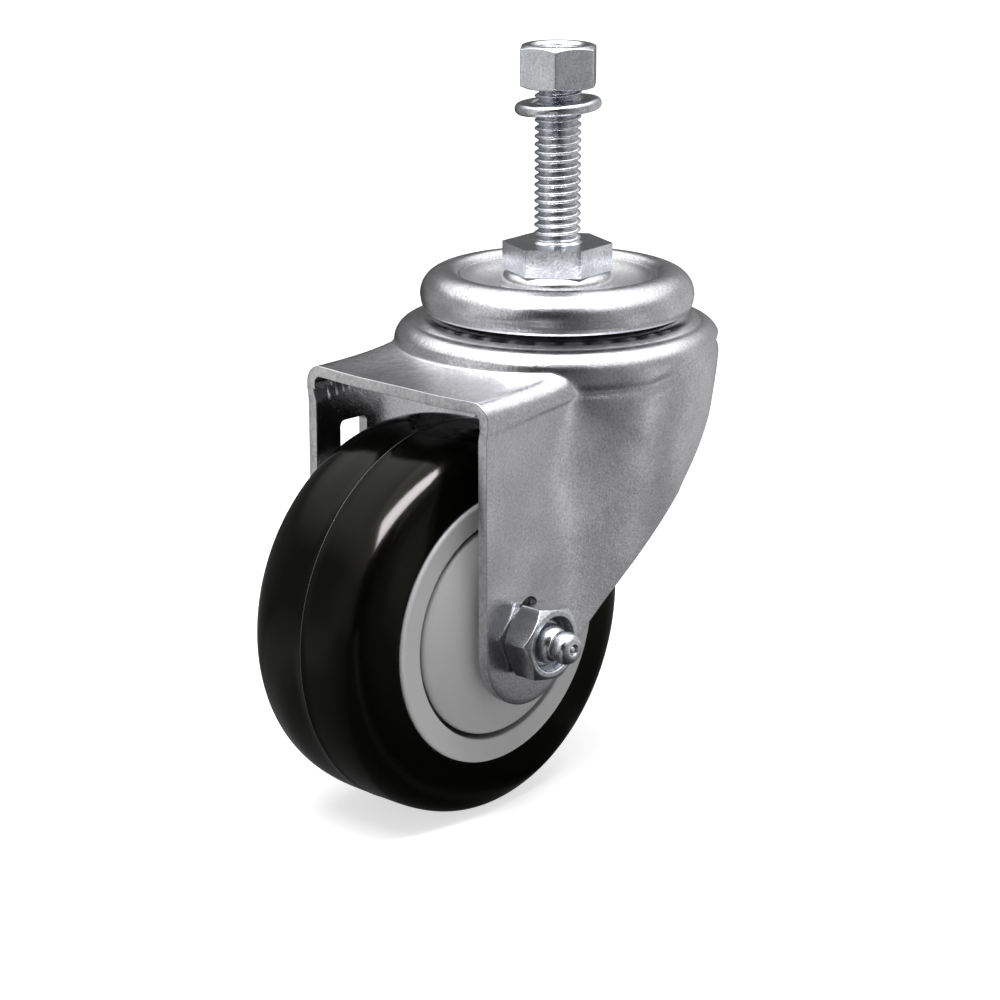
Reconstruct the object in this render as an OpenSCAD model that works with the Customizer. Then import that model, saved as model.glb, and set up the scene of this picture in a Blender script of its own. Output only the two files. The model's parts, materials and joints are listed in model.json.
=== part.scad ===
// Swivel castor with a threaded stem, a pressed fork and one wheel on ball bearings.
// The origin is on the stem's axis, at the top face of the stem's hexagon.
// +Z runs up the stem, the wheel trails towards -X and the axle lies along Y.

/* [Stem] */
// Major diameter of the stem's thread
stem_d = 9.525; // [8:0.005:11]
// Length of the stem above the hexagon
stem_len = 38.1; // [30:0.1:70]
// Pitch of the stem's thread
thread_pitch = 1.5875; // [1:0.0005:2]
// Width across flats of the stem's hexagon
stem_hex_af = 19.05; // [18:0.05:20]
// Height of the stem's hexagon
stem_hex_h = 5.45; // [4:0.05:8]
// Turn of the hexagon about the stem
stem_hex_turn = 6.6; // [0:0.1:60]
// Diameter of the kingpin below the hexagon
kingpin_d = 16; // [14:0.1:17]
// Diameter of the kingpin's riveted tail
tail_d = 12; // [10:0.1:13]
// Diameter of the riveted head
rivet_head_d = 17.6; // [16:0.1:19]
// Height of the riveted head
rivet_head_h = 2.4; // [1.5:0.1:3.5]

/* [Stem nut and lock washer] */
// Width across flats of the stem nut
stem_nut_af = 14.29; // [13:0.01:17]
// Height of the stem nut
stem_nut_h = 8.3; // [6:0.1:10]
// How far the nut's top stands above the stem's end
nut_proud = 0.7; // [0:0.1:3]
// Turn of the stem nut at rest
stem_nut_turn = 35.5; // [0:0.5:60]
// Outer diameter of the lock washer
washer_d = 17.9; // [16:0.1:20]
// Bore of the lock washer over the stem's own diameter
washer_play = 0.375; // [0.3:0.005:0.6]
// Thickness of the lock washer
washer_t = 2.6; // [2:0.1:3.2]
// Gap between the nut and the washer that hangs under it
washer_drop = 2.2; // [1.2:0.1:5]
// Tilt of the hanging washer
washer_tilt = 2.6; // [0:0.1:3]
// Width of the washer's split
washer_split = 1.2; // [0.5:0.1:2]

/* [Top raceway] */
// Outer diameter of the top raceway
race_d = 55.8; // [55.4:0.1:57]
// Sheet thickness of the top raceway
race_t = 2.2; // [1.8:0.1:2.4]
// Diameter of the boss under the hexagon
race_boss_d = 22.4; // [21.6:0.1:24]
// Height of the boss's round shoulder
race_boss_h = 2.2; // [1.6:0.1:2.8]
// Diameter of the crease at the inside of the rim
race_crease_d = 38.8; // [37:0.1:40]
// Depth of the dish below the rim
dish_depth = 4; // [3:0.1:4.6]
// Thickness of the rim's lower edge
race_edge_t = 0.55; // [0.4:0.05:1]
// Drop from the hexagon's underside to the rim's crown
crown_drop = 0.15; // [0.05:0.05:0.6]
// Share of a ball's radius that the rim reaches below the ball's centre
race_cover = 0.85; // [0.7:0.05:0.9]

/* [Swivel bearings] */
// Diameter of an upper swivel ball
upper_ball_d = 5.556; // [5:0.001:5.6]
// Number of upper swivel balls
upper_ball_count = 25; // [12:1:25]
// Pitch diameter of the upper row of balls
upper_pitch_d = 45.8; // [45.6:0.1:46.4]
// Diameter of a lower swivel ball
lower_ball_d = 4.762; // [4:0.001:5]
// Number of lower swivel balls
lower_ball_count = 17; // [8:1:17]
// Pitch diameter of the lower row of balls
lower_pitch_d = 27; // [26.6:0.1:28]
// Depth to which the lower balls sit in their two races
lower_groove_depth = 0.5; // [0.3:0.05:0.7]
// Sheet thickness of the lower race
lower_race_t = 2; // [1.5:0.1:2.5]
// Depth of the lower race's track
lower_track_depth = 1.4; // [1:0.1:1.8]
// Width of the lip around the lower race's track
lower_lip_w = 1.6; // [1:0.1:2]

/* [Fork] */
// Outer width over the fork's flat legs
fork_w = 47.6; // [46:0.1:50]
// Sheet thickness of the fork
fork_t = 2.2; // [2:0.05:2.4]
// Diameter of the fork's round shoulder
shoulder_d = 64.8; // [64:0.1:67]
// Drop from the upper balls' track to the fork's central web
web_drop = 3.6; // [3:0.1:4.2]
// Diameter of the hole in the fork's web
web_hole_d = 21; // [19.5:0.1:22]
// Depth of the fork's front plate below the stem's hexagon top
plate_depth = 21; // [20.6:0.1:22]
// Outer radius of the bend between the plate and a leg
bend_r = 3.6; // [3:0.1:7]
// Horizontal distance from the swivel axis to the axle
trail = 33.96; // [30:0.01:38]
// Depth of the axle below the stem's hexagon top
axle_depth = 68.1; // [66:0.1:74]
// Radius of a leg's round end
leg_end_r = 11.65; // [10.6:0.05:13]
// How far the round end's centre lies below the axle
leg_end_drop = 1.2; // [0:0.1:2]
// Distance behind the swivel axis where the leg's rear edge meets the skirt
rear_x = 22.7; // [20:0.1:25]
// Depth of the rear skirt's lower edge
skirt_depth = 28; // [26:0.1:30]
// Lean of the flared rear part of a leg
flare_lean = 9.4; // [8:0.1:11]
// Depth at which the flare leaves the round shoulder
flare_depth = 22.7; // [21.5:0.1:24]
// Step from the round shoulder's wall down to the flare
flare_step = 0.05; // [0.03:0.01:0.2]
// Diameter of the notch above the axle hole
notch_d = 4.2; // [3:0.1:5]
// Height of the notch's centre above the axle
notch_rise = 5.7; // [5:0.1:7]
// Width of the window in the far leg
window_w = 7.2; // [5:0.1:9]
// Height of the window in the far leg
window_h = 10; // [6:0.1:12]
// Depth of the window's top edge
window_depth = 32.9; // [31:0.1:36]
// Distance of the window's centre line from the swivel axis
window_x = 35.6; // [33:0.1:38]
// Corner radius of the window
window_r = 1.2; // [0.5:0.1:2]

/* [Wheel] */
// Diameter of the wheel
wheel_d = 76.2; // [70:0.1:78]
// Width of the tyre
tread_w = 31.75; // [29:0.05:32.5]
// Roundness of the tyre's profile
tread_power = 4; // [2.5:0.1:6]
// Width of the straight middle of the tread
tread_flat = 6; // [2:0.5:10]
// Outer diameter of the hub's rim
rim_d = 53.8; // [50:0.1:56]
// Width of the hub's rim
hub_w = 33; // [32:0.1:34]
// Wall of the hub's rim
rim_t = 5; // [3.5:0.1:5.3]
// Height of the rib that keys the tyre to the rim
key_h = 1.6; // [0.8:0.1:2.5]
// Width of the rib that keys the tyre to the rim
key_w = 10; // [6:0.5:16]
// Outer diameter of the hub's bearing boss
boss_d = 35.4; // [33:0.1:37]
// Thickness of the hub's web
hub_web_t = 7; // [4:0.5:10]
// Number of ribs on each side of the hub's web
rib_count = 8; // [4:1:12]
// Thickness of a hub rib
rib_t = 2; // [1.4:0.1:3]

/* [Wheel bearings] */
// Bore of a wheel bearing
bearing_bore = 12.7; // [12.4:0.05:13]
// Outer diameter of a wheel bearing
bearing_od = 28.575; // [28:0.005:29.5]
// Width of a wheel bearing
bearing_w = 7.94; // [7:0.01:9]
// Depth of a bearing's outer face inside the hub's face
bearing_inset = 1.1; // [0.8:0.05:2]
// Diameter of a wheel bearing's ball
wheel_ball_d = 4.762; // [4:0.001:5]
// Number of balls in a wheel bearing
wheel_ball_count = 8; // [6:1:9]
// Radial opening between the two rings of a bearing
ring_gap = 2.8; // [2.2:0.1:3.2]
// Thickness of a bearing's shield
shield_t = 0.4; // [0.3:0.05:0.6]

/* [Thread guards] */
// Radial gap between a thread guard and the hub's rim
guard_gap = 0.7; // [0.4:0.05:1.5]
// Sheet thickness of a thread guard
guard_t = 1.5; // [1:0.1:2]
// How far the guard's rim stands out from the hub's face
guard_rise = 0.2; // [0:0.05:0.6]
// Rise of the guard's dome above its rim
guard_dome = 2.9; // [1.5:0.1:3.4]
// Outer diameter of the guard's collar
guard_collar_d = 18; // [17:0.1:20]

/* [Axle] */
// Diameter of the axle bolt
axle_d = 9.525; // [9:0.005:10.5]
// Width across flats of the axle bolt's head
axle_head_af = 14.29; // [14:0.01:17]
// Height of the axle bolt's head
axle_head_h = 5.8; // [4:0.1:7]
// Width across flats of the axle nut
axle_nut_af = 13; // [12.8:0.1:15]
// Height of the axle nut
axle_nut_h = 6.2; // [5:0.1:8]
// Turn of the axle nut
axle_nut_turn = 52; // [0:1:60]
// How far the bolt's end lies inside the nut's outer face
axle_end_in = 1.7; // [1:0.1:2.5]
// Diameter of the axle nut's recess at its outer face
nut_recess_d = 10.9; // [10.6:0.1:11.6]
// Wall of the bearings' spacer tube
spacer_t = 1.5; // [1:0.1:1.8]

/* [Grease fitting] */
// Diameter of the fitting's threaded stub
fitting_stub_d = 5.6; // [5:0.1:6]
// Length of the fitting's stub inside the bolt
fitting_stub_len = 6; // [4:0.1:8]
// Diameter of the fitting's shoulder
fitting_shoulder_d = 7.8; // [7:0.1:8.4]
// Height of the fitting's shoulder
fitting_shoulder_h = 3.4; // [2.4:0.1:4]
// Diameter of the fitting's neck
fitting_neck_d = 4.8; // [4.4:0.1:5.2]
// Diameter of the fitting's head
fitting_head_d = 6.4; // [5.8:0.1:7]
// Diameter of the fitting's flat tip
fitting_tip_d = 3.7; // [3.2:0.1:4.4]
// Height of the fitting's neck and head together
fitting_head_h = 3.6; // [3:0.1:4.5]
// Diameter of the grease duct
duct_d = 2.4; // [1.8:0.1:2.6]
// Diameter of the check ball in the fitting
check_ball_d = 2.1; // [1.9:0.1:2.2]

/* [Clearances] */
// Radial play of a bolt, sleeve or ring on what it slides over
shaft_play = 0.05; // [0.02:0.01:0.08]
// Play between a ball and its race
ball_play = 0.05; // [0.02:0.01:0.08]
// Radial play of the axle bolt in the legs' holes
bolt_hole_play = 0.08; // [0.04:0.01:0.1]
// Radial gap of a piece that is pressed, riveted or screwed home
seat_gap = 0.02; // [0.01:0.01:0.03]

/* [Hidden] */
$fn = 96;

// Stem
stem_r = stem_d / 2;
neck_r = stem_r - 0.25 * thread_pitch;
neck_h = 1.6 * thread_pitch;
tip_chamfer = 0.6 * thread_pitch;
kingpin_r = kingpin_d / 2;
tail_r = tail_d / 2;

// Upper balls and the two raceways that hold them
upper_ball_r = upper_ball_d / 2;
upper_pitch_r = upper_pitch_d / 2;
upper_groove_r = upper_ball_r + ball_play;
crown_r = upper_groove_r + race_t;
upper_ball_z = -stem_hex_h - crown_drop - crown_r;
crown_z = upper_ball_z + crown_r;
race_r = race_d / 2;
race_edge_z = upper_ball_z - race_cover * upper_groove_r;
race_inner_r = upper_pitch_r + upper_groove_r;
track_z = upper_ball_z - upper_groove_r;

// Fork's round shoulder and web
shoulder_r = shoulder_d / 2;
shoulder_in_r = shoulder_r - fork_t;
wall_mid_r = shoulder_r - fork_t / 2;
web_top_z = track_z - web_drop;
web_low_z = web_top_z - fork_t;
web_hole_r = web_hole_d / 2;
plate_top_z = -plate_depth;
plate_low_z = plate_top_z - fork_t;

// Lower balls and race
lower_ball_r = lower_ball_d / 2;
lower_pitch_r = lower_pitch_d / 2;
lower_groove_r = lower_ball_r + ball_play;
lower_ball_z = web_low_z - lower_groove_r + lower_groove_depth;
lower_race_z = lower_ball_z - lower_groove_r + lower_track_depth;
lower_race_low_z = lower_race_z - lower_race_t;
lower_race_r = lower_pitch_r + lower_groove_r + lower_lip_w;

// Fork's legs
leg_y = fork_w / 2;
leg_in_y = leg_y - fork_t;
axle_z = -axle_depth;
leg_end_z = axle_z - leg_end_drop;
front_x = trail + leg_end_r;
axle_hole_r = axle_d / 2 + bolt_hole_play;
mitre_z = shoulder_r * tan(flare_lean / 2) - flare_depth;

// Wheel
wheel_r = wheel_d / 2;
rim_r = rim_d / 2;
rim_in_r = rim_r - rim_t;
boss_r = boss_d / 2;
bearing_out = hub_w / 2 - bearing_inset;
bearing_in = bearing_out - bearing_w;
guard_r = rim_in_r - guard_gap;
guard_rim_y = hub_w / 2 + guard_rise;

// Wheel bearings
bore_r = bearing_bore / 2;
bearing_r = bearing_od / 2;
wheel_pitch_r = (bore_r + bearing_r) / 2;
wheel_groove_r = wheel_ball_d / 2 + ball_play;
inner_ring_r = wheel_pitch_r - ring_gap / 2;
outer_ring_r = wheel_pitch_r + ring_gap / 2;
bearing_mid = bearing_out - bearing_w / 2;

// Axle, measured outwards from the wheel's middle on the near side
axle_r = axle_d / 2;
sleeve_r = bore_r - shaft_play;
nut_face = leg_y + axle_nut_h;
bolt_end = nut_face - axle_end_in;
stub_r = fitting_stub_d / 2;
duct_r = duct_d / 2;
fitting_tip = bolt_end + fitting_shoulder_h + fitting_head_h;
check_r = check_ball_d / 2;
cavity_r = check_r + ball_play;
seat_in = 1.1 * check_r;
check_ball_y = fitting_tip - seat_in;
spring_wire = 0.3 * check_r;
spring_len = 3.2;

// Points along an arc
function arc(c, r, a0, a1, n = 8) =
    [for (i = [0:n]) let (a = a0 + (a1 - a0) * i / n) [c[0] + r * cos(a), c[1] + r * sin(a)]];

// Points along a curve pulled towards the middle point
function bend(p0, p1, p2, n = 8) =
    [for (i = [0:n]) let (t = i / n) (1 - t) * (1 - t) * p0 + 2 * t * (1 - t) * p1 + t * t * p2];

// Point where a line from q touches the circle at c, on the side given by s
function tangent(q, c, r, s) =
    let (d = c - q, far = norm(d), a = atan2(d[1], d[0]), half = asin(r / far), reach = sqrt(far * far - r * r))
    q + reach * [cos(a + s * half), sin(a + s * half)];

// Places children on the axle, with their +Z outwards on the near side
module onAxle() {
    translate([-trail, 0, axle_z]) rotate([90, 0, 0]) children();
}

// Places children on the axle, with their +Z outwards on the far side
module onAxleFar() {
    translate([-trail, 0, axle_z]) rotate([-90, 0, 0]) children();
}

// Hexagonal prism from z = 0 up, with its corners chamfered at the top and, if low is true, below too
module chamferedHex(af, h, low = false) {
    corner = af / sqrt(3);
    flat = 0.475 * af;
    drop = (corner + 0.1 - flat) * 0.6;
    low_flat = low ? flat : corner + 0.1;
    low_drop = low ? drop : 0;
    intersection() {
        cylinder(r = corner, h = h, $fn = 6);
        rotate_extrude() polygon([
            [0, 0], [low_flat, 0], [corner + 0.1, low_drop], [corner + 0.1, h - drop], [flat, h], [0, h]
        ]);
    }
}

// Ring between two radii and two heights
module tube(r_in, r_out, z0, z1) {
    rotate_extrude() polygon([[r_in, z0], [r_out, z0], [r_out, z1], [r_in, z1]]);
}

// Full ring of balls about Z
module ballRow(count, pitch_r, r, z) {
    for (i = [0:count - 1])
        rotate([0, 0, 360 * i / count]) translate([pitch_r, 0, z]) sphere(r = r, $fn = 32);
}

// Threaded stem, hexagon and riveted kingpin in one piece
module stem() {
    head_z = lower_race_low_z;
    color("gainsboro") {
        rotate_extrude() polygon(concat(
            [[0, stem_len], [stem_r - tip_chamfer, stem_len], [stem_r, stem_len - tip_chamfer]],
            [[stem_r, neck_h + stem_r - neck_r], [neck_r, neck_h], [neck_r, -stem_hex_h / 2]],
            [[kingpin_r, -stem_hex_h / 2], [kingpin_r, lower_race_z], [tail_r, lower_race_z], [tail_r, head_z]],
            [[rivet_head_d / 2, head_z], [rivet_head_d / 2, head_z - 0.35 * rivet_head_h]],
            bend([rivet_head_d / 2 - 0.4, head_z - 0.6 * rivet_head_h],
                [rivet_head_d / 4, head_z - rivet_head_h], [0, head_z - rivet_head_h], 5)
        ));
        translate([0, 0, -stem_hex_h]) rotate([0, 0, stem_hex_turn]) chamferedHex(stem_hex_af, stem_hex_h);
    }
}

// Hexagon nut near the end of the stem
module stem_nut() {
    low_z = stem_len + nut_proud - stem_nut_h;
    bore_r = stem_r + shaft_play;
    color("gainsboro") translate([0, 0, low_z]) rotate([0, 0, stem_nut_turn]) difference() {
        chamferedHex(stem_nut_af, stem_nut_h, true);
        rotate_extrude() polygon([
            [0, -1], [bore_r + 0.6, -1], [bore_r + 0.6, 0], [bore_r, 0.6],
            [bore_r, stem_nut_h - 0.6], [bore_r + 0.6, stem_nut_h], [bore_r + 0.6, stem_nut_h + 1],
            [0, stem_nut_h + 1]
        ]);
    }
}

// Split spring washer that hangs tilted on the thread below the nut
module lock_washer() {
    nut_low_z = stem_len + nut_proud - stem_nut_h;
    mid_z = nut_low_z - washer_drop - washer_t / 2;
    in_r = stem_r + washer_play / 2;
    out_r = washer_d / 2;
    half = washer_t / 2;
    soft = 0.35 * washer_t;
    color("gainsboro") translate([0, 0, mid_z]) rotate(a = washer_tilt, v = [0.73, 0.68, 0]) difference() {
        rotate_extrude() polygon(concat(
            [[in_r, -half + 0.2], [in_r + 0.2, -half]],
            arc([out_r - soft, -half + soft], soft, -90, 0, 4),
            arc([out_r - soft, half - soft], soft, 0, 90, 4),
            [[in_r + 0.2, half], [in_r, half - 0.2]]
        ));
        rotate([0, 0, 43]) translate([out_r / 2, 0, 0]) rotate([25, 0, 0])
            cube([out_r + 2, washer_split, 3 * washer_t], center = true);
    }
}

// Pressed disc fixed under the hexagon, whose rim covers the upper balls
module top_raceway() {
    boss_z = -stem_hex_h;
    boss_r = race_boss_d / 2;
    crease_r = race_crease_d / 2;
    dish_z = crown_z - dish_depth;
    hole_r = kingpin_r + seat_gap;
    wall_in_r = boss_r - race_t;
    groove = [upper_pitch_r, upper_ball_z];
    color("lightsteelblue") rotate_extrude() polygon(concat(
        [[hole_r, boss_z], [boss_r - 1.7, boss_z]],
        arc([boss_r - 1.7, boss_z - race_boss_h], 1.7, 90, 0, 5),
        bend([boss_r, dish_z + 1.2], [boss_r + 0.1, dish_z], [boss_r + 1.4, dish_z], 4),
        bend([boss_r + 1.6, dish_z], [crease_r - 2.2, dish_z + 0.3], [crease_r, crown_z + 0.05], 8),
        arc([race_r - crown_r, crown_z - crown_r], crown_r, 90, 0, 9),
        bend([race_r, upper_ball_z - 0.1], [race_r - 0.3, race_edge_z + 0.4],
            [race_inner_r + race_edge_t, race_edge_z], 5),
        [[race_inner_r, race_edge_z]],
        arc(groove, upper_groove_r, 0, 150, 12),
        bend([crease_r, dish_z], [crease_r - 1.5, dish_z - race_t], [boss_r + 1.4, dish_z - race_t], 6),
        bend([boss_r - 0.6, dish_z - race_t], [wall_in_r, dish_z - race_t], [wall_in_r, dish_z], 4),
        [[wall_in_r, boss_z - race_t], [hole_r, boss_z - race_t]]
    ));
}

// Pressed ring on the kingpin's shoulder that carries the lower balls
module lower_race() {
    c = [lower_pitch_r, lower_ball_z];
    lip_z = lower_ball_z - 0.3;
    hole_r = tail_r + seat_gap;
    low_r = lower_groove_r + lower_race_t;
    color("silver") rotate_extrude() polygon(concat(
        [[hole_r, lower_race_low_z], [hole_r, lower_race_z]],
        arc(c, lower_groove_r, 180 + asin(1 - lower_track_depth / lower_groove_r), 360, 10),
        [[lower_pitch_r + lower_groove_r, lip_z], [lower_race_r, lip_z]],
        arc(c, low_r, -10, asin((lower_ball_z - lower_race_low_z) / low_r) - 180, 10)
    ));
}

// Upper row of swivel balls
module upper_balls() {
    color("white") ballRow(upper_ball_count, upper_pitch_r, upper_ball_r, upper_ball_z);
}

// Lower row of swivel balls
module lower_balls() {
    color("white") ballRow(lower_ball_count, lower_pitch_r, lower_ball_r, lower_ball_z);
}

// Round shoulder and web of the fork, as one turned section
module forkShoulder() {
    track = [upper_pitch_r, upper_ball_z];
    t = fork_t;
    in_r = shoulder_in_r;
    crest_z = track_z - 0.6;
    rotate_extrude() difference() {
        polygon(concat(
            [[web_hole_r, web_low_z], [web_hole_r, web_top_z], [upper_pitch_r - 5.6, web_top_z]],
            bend([upper_pitch_r - 4.4, web_top_z + 0.5], [upper_pitch_r - 2.7, web_top_z + 1.5],
                [upper_pitch_r - 2.2, track_z + 0.2], 4),
            arc(track, upper_groove_r, 235, 305, 8),
            [[upper_pitch_r + 2.2, track_z + 0.2], [upper_pitch_r + 3.2, crest_z]],
            [[shoulder_r - 5.2, crest_z - 0.15], [shoulder_r - 3.3, crest_z - 1.3]],
            bend([shoulder_r - 3.1, crest_z - 1.4], [shoulder_r, crest_z - 2.6],
                [shoulder_r, crest_z - 5.2], 7),
            [[shoulder_r, -skirt_depth], [in_r, -skirt_depth]],
            bend([in_r, crest_z - 5.4], [in_r, crest_z - 3.6],
                [shoulder_r - 5, crest_z - 2.9], 5),
            [[upper_pitch_r + 1.6, track_z - t], [upper_pitch_r - 1.2, track_z - t]],
            bend([upper_pitch_r - 1.5, track_z - t - 0.6], [upper_pitch_r - 2.2, web_low_z + 0.2],
                [upper_pitch_r - 5, web_low_z], 4)
        ));
        translate([lower_pitch_r, lower_ball_z]) circle(r = lower_groove_r);
    }
}

// Side outline of a leg, drawn in X and Z
module legOutline() {
    c = [-trail, leg_end_z];
    top = -flare_depth + 6;
    q = [rear_x, -skirt_depth];
    p = tangent(q, c, leg_end_r - 0.01, 1);
    slope = (q - p) / norm(q - p);
    rear = q + slope * (top - q[1]) / slope[1];
    polygon([[-front_x, top], [-front_x, leg_end_z], c, p, rear]);
    translate(c) circle(r = leg_end_r);
}

// Leg outline as a solid that crosses the whole fork
module legPrism() {
    rotate([90, 0, 0]) linear_extrude(height = 4 * shoulder_r, center = true) legOutline();
}

// Near half of the flat sheet: front plate, bend and leg
module bentSheet() {
    in_r = bend_r - fork_t;
    low = -axle_depth - leg_end_drop - leg_end_r - 1;
    yr = leg_y - bend_r;
    z = plate_top_z - bend_r;
    translate([-front_x, 0, 0]) rotate([90, 0, 90]) linear_extrude(height = front_x) polygon(concat(
        [[0, plate_top_z]], arc([-yr, z], bend_r, 90, 180, 8), [[-leg_y, low], [-leg_in_y, low]],
        arc([-yr, z], in_r, 180, 90, 8), [[0, plate_low_z]]
    ));
}

// Leaning cylinder of the near flare, which carries the round shoulder's wall on below the mitre
module leaning(r) {
    translate([0, 0, mitre_z]) rotate([flare_lean, 0, 0]) cylinder(r = r, h = 4 * shoulder_r, center = true);
}

// Space on the near side that lies outside the legs' inner faces and below the mitre of wall and flare
module belowMitre() {
    size = 6 * shoulder_r;
    intersection() {
        translate([0, 0, mitre_z]) rotate([flare_lean / 2, 0, 0]) translate([0, 0, -size / 2])
            cube(size, center = true);
        translate([0, -leg_in_y - size / 2, 0]) cube(size, center = true);
    }
}

// Flared rear part of the near leg
module nearFlare() {
    intersection() {
        difference() {
            leaning(shoulder_r - flare_step);
            leaning(shoulder_in_r - flare_step);
        }
        legPrism();
        belowMitre();
    }
}

// Near half of the fork below its round shoulder
module nearHalf() {
    difference() {
        difference() {
            intersection() {
                bentSheet();
                legPrism();
            }
            cylinder(r = wall_mid_r, h = 2 * (plate_depth + fork_t), center = true);
        }
        leaning(wall_mid_r);
    }
    nearFlare();
}

// Hole and notch for the axle, through both legs
module axleHole() {
    onAxle() {
        cylinder(r = axle_hole_r, h = 4 * leg_y, center = true);
        translate([0, notch_rise, 0]) cylinder(r = notch_d / 2, h = 4 * leg_y, center = true);
    }
}

// Rounded window in the far leg
module legWindow() {
    x = window_w / 2 - window_r;
    z = window_h / 2 - window_r;
    translate([-window_x, leg_y, -window_depth - window_h / 2]) rotate([90, 0, 0]) {
        cube([window_w, 2 * z, 4 * fork_t], center = true);
        cube([2 * x, window_h, 4 * fork_t], center = true);
        for (sx = [-1, 1], sz = [-1, 1])
            translate([sx * x, sz * z, 0]) cylinder(r = window_r, h = 4 * fork_t, center = true);
    }
}

// Round shoulder cut back to the legs at its sides and to the plate at its front, with the skirt left behind
module trimmedShoulder() {
    size = 4 * shoulder_r;
    difference() {
        forkShoulder();
        belowMitre();
        mirror([0, 1, 0]) belowMitre();
        translate([-size, -size / 2, plate_low_z - size]) cube(size);
    }
}

// Fork pressed from one sheet: round shoulder, front plate, two legs and rear skirt
module fork() {
    color("lightsteelblue") difference() {
        union() {
            trimmedShoulder();
            nearHalf();
            mirror([0, 1, 0]) nearHalf();
        }
        axleHole();
        legWindow();
    }
}

// Glossy tyre moulded round the hub
module tyre() {
    half = tread_w / 2;
    flat = tread_flat / 2;
    depth = wheel_r - rim_r - key_h;
    n = tread_power;
    edge = [for (i = [0:10]) let (a = 9 * i, c = pow(cos(a), 2 / n), s = pow(sin(a), 2 / n))
        [rim_r + key_h + depth * s, flat + (half - flat) * c]];
    side = [for (i = [10:-1:0]) [edge[i][0], -edge[i][1]]];
    color("black") onAxle() rotate_extrude() polygon(concat(
        [[rim_r, half], [rim_r + key_h, half]], edge, side, [[rim_r, -half]],
        [[rim_r, -key_w / 2], [rim_r + key_h, -key_w / 2], [rim_r + key_h, key_w / 2], [rim_r, key_w / 2]]
    ));
}

// Moulded hub with its rim, web, ribs and bearing seats
module hub() {
    half = hub_w / 2;
    seat_r = bearing_r + seat_gap;
    stop_r = outer_ring_r + 0.6;
    soft = 0.5;
    color("darkgray") onAxle() {
        rotate_extrude() polygon([
            [rim_in_r, half - soft], [rim_in_r + soft, half], [rim_r - soft, half], [rim_r, half - soft],
            [rim_r, key_w / 2], [rim_r + key_h, key_w / 2], [rim_r + key_h, -key_w / 2], [rim_r, -key_w / 2],
            [rim_r, -half + soft], [rim_r - soft, -half], [rim_in_r + soft, -half], [rim_in_r, -half + soft],
            [rim_in_r, -hub_web_t / 2], [boss_r, -hub_web_t / 2], [boss_r, -bearing_out],
            [seat_r, -bearing_out], [seat_r, -bearing_in], [stop_r, -bearing_in],
            [stop_r, bearing_in], [seat_r, bearing_in],
            [seat_r, bearing_out], [boss_r, bearing_out], [boss_r, hub_web_t / 2], [rim_in_r, hub_web_t / 2]
        ]);
        for (i = [0:rib_count - 1]) rotate([0, 0, 360 * (i + 0.5) / rib_count])
            translate([boss_r - 0.5, -rib_t / 2, -bearing_out + 1])
                cube([rim_in_r - boss_r + 1, rib_t, 2 * bearing_out - 2]);
    }
}

// Outer ring of a wheel bearing, with its track
module bearingOuter() {
    color("silver") rotate_extrude() difference() {
        translate([outer_ring_r, bearing_in]) square([bearing_r - outer_ring_r, bearing_w]);
        translate([wheel_pitch_r, bearing_mid]) circle(r = wheel_groove_r);
    }
}

// Inner ring of a wheel bearing, with its track
module bearingInner() {
    color("silver") rotate_extrude() difference() {
        translate([bore_r, bearing_in]) square([inner_ring_r - bore_r, bearing_w]);
        translate([wheel_pitch_r, bearing_mid]) circle(r = wheel_groove_r);
    }
}

// Balls of a wheel bearing
module bearingBalls() {
    color("white") ballRow(wheel_ball_count, wheel_pitch_r, wheel_ball_d / 2, bearing_mid);
}

// Thin shield over the outside of a wheel bearing
module bearingShield() {
    top = bearing_out - 0.1;
    color("gray") tube(inner_ring_r + 0.15, outer_ring_r, top - shield_t, top);
}

// Tube that holds the two inner rings apart
module bearing_spacer() {
    color("silver") onAxle() difference() {
        tube(bore_r, bore_r + spacer_t, -bearing_in, bearing_in);
        rotate([0, 90, 0]) cylinder(r = duct_r, h = 4 * bore_r, center = true, $fn = 32);
    }
}

// Sleeve on the axle bolt between the two legs
module axle_sleeve() {
    color("silver") onAxle() difference() {
        tube(axle_r + shaft_play, sleeve_r, -leg_in_y, leg_in_y);
        rotate([0, 90, 0]) cylinder(r = duct_r, h = 4 * bore_r, center = true, $fn = 32);
    }
}

// Domed grey cover between a leg and the hub
module threadGuard() {
    collar_r = guard_collar_d / 2;
    top = guard_rim_y + guard_dome;
    lip = 0.7;
    color("darkgray") rotate_extrude() polygon(concat(
        [[bore_r, bearing_out], [inner_ring_r, bearing_out], [inner_ring_r, top - guard_t - 0.5]],
        bend([collar_r, top - guard_t], [0.72 * guard_r, top - guard_t - 0.3],
            [guard_r - lip, guard_rim_y - guard_t], 8),
        [[guard_r, guard_rim_y - guard_t], [guard_r, guard_rim_y - 0.3], [guard_r - 0.3, guard_rim_y]],
        bend([guard_r - lip, guard_rim_y + 0.2], [0.76 * guard_r, top], [collar_r, top], 8),
        [[collar_r, leg_in_y], [bore_r, leg_in_y]]
    ));
}

// Axle bolt with its head on the far side and a grease duct from the near end
module axle_bolt() {
    color("gainsboro") onAxle() difference() {
        union() {
            translate([0, 0, -leg_y]) mirror([0, 0, 1]) rotate([0, 0, 10])
                chamferedHex(axle_head_af, axle_head_h);
            rotate_extrude() polygon([
                [0, -leg_y - 1], [axle_r, -leg_y - 1], [axle_r, bolt_end - 0.5], [axle_r - 0.5, bolt_end],
                [0, bolt_end]
            ]);
        }
        translate([0, 0, bolt_end - fitting_stub_len])
            cylinder(r = stub_r + seat_gap, h = fitting_stub_len + 1);
        cylinder(r = duct_r, h = bolt_end, $fn = 32);
        rotate([0, 90, 0]) cylinder(r = duct_r, h = 4 * axle_r, center = true, $fn = 32);
    }
}

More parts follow.
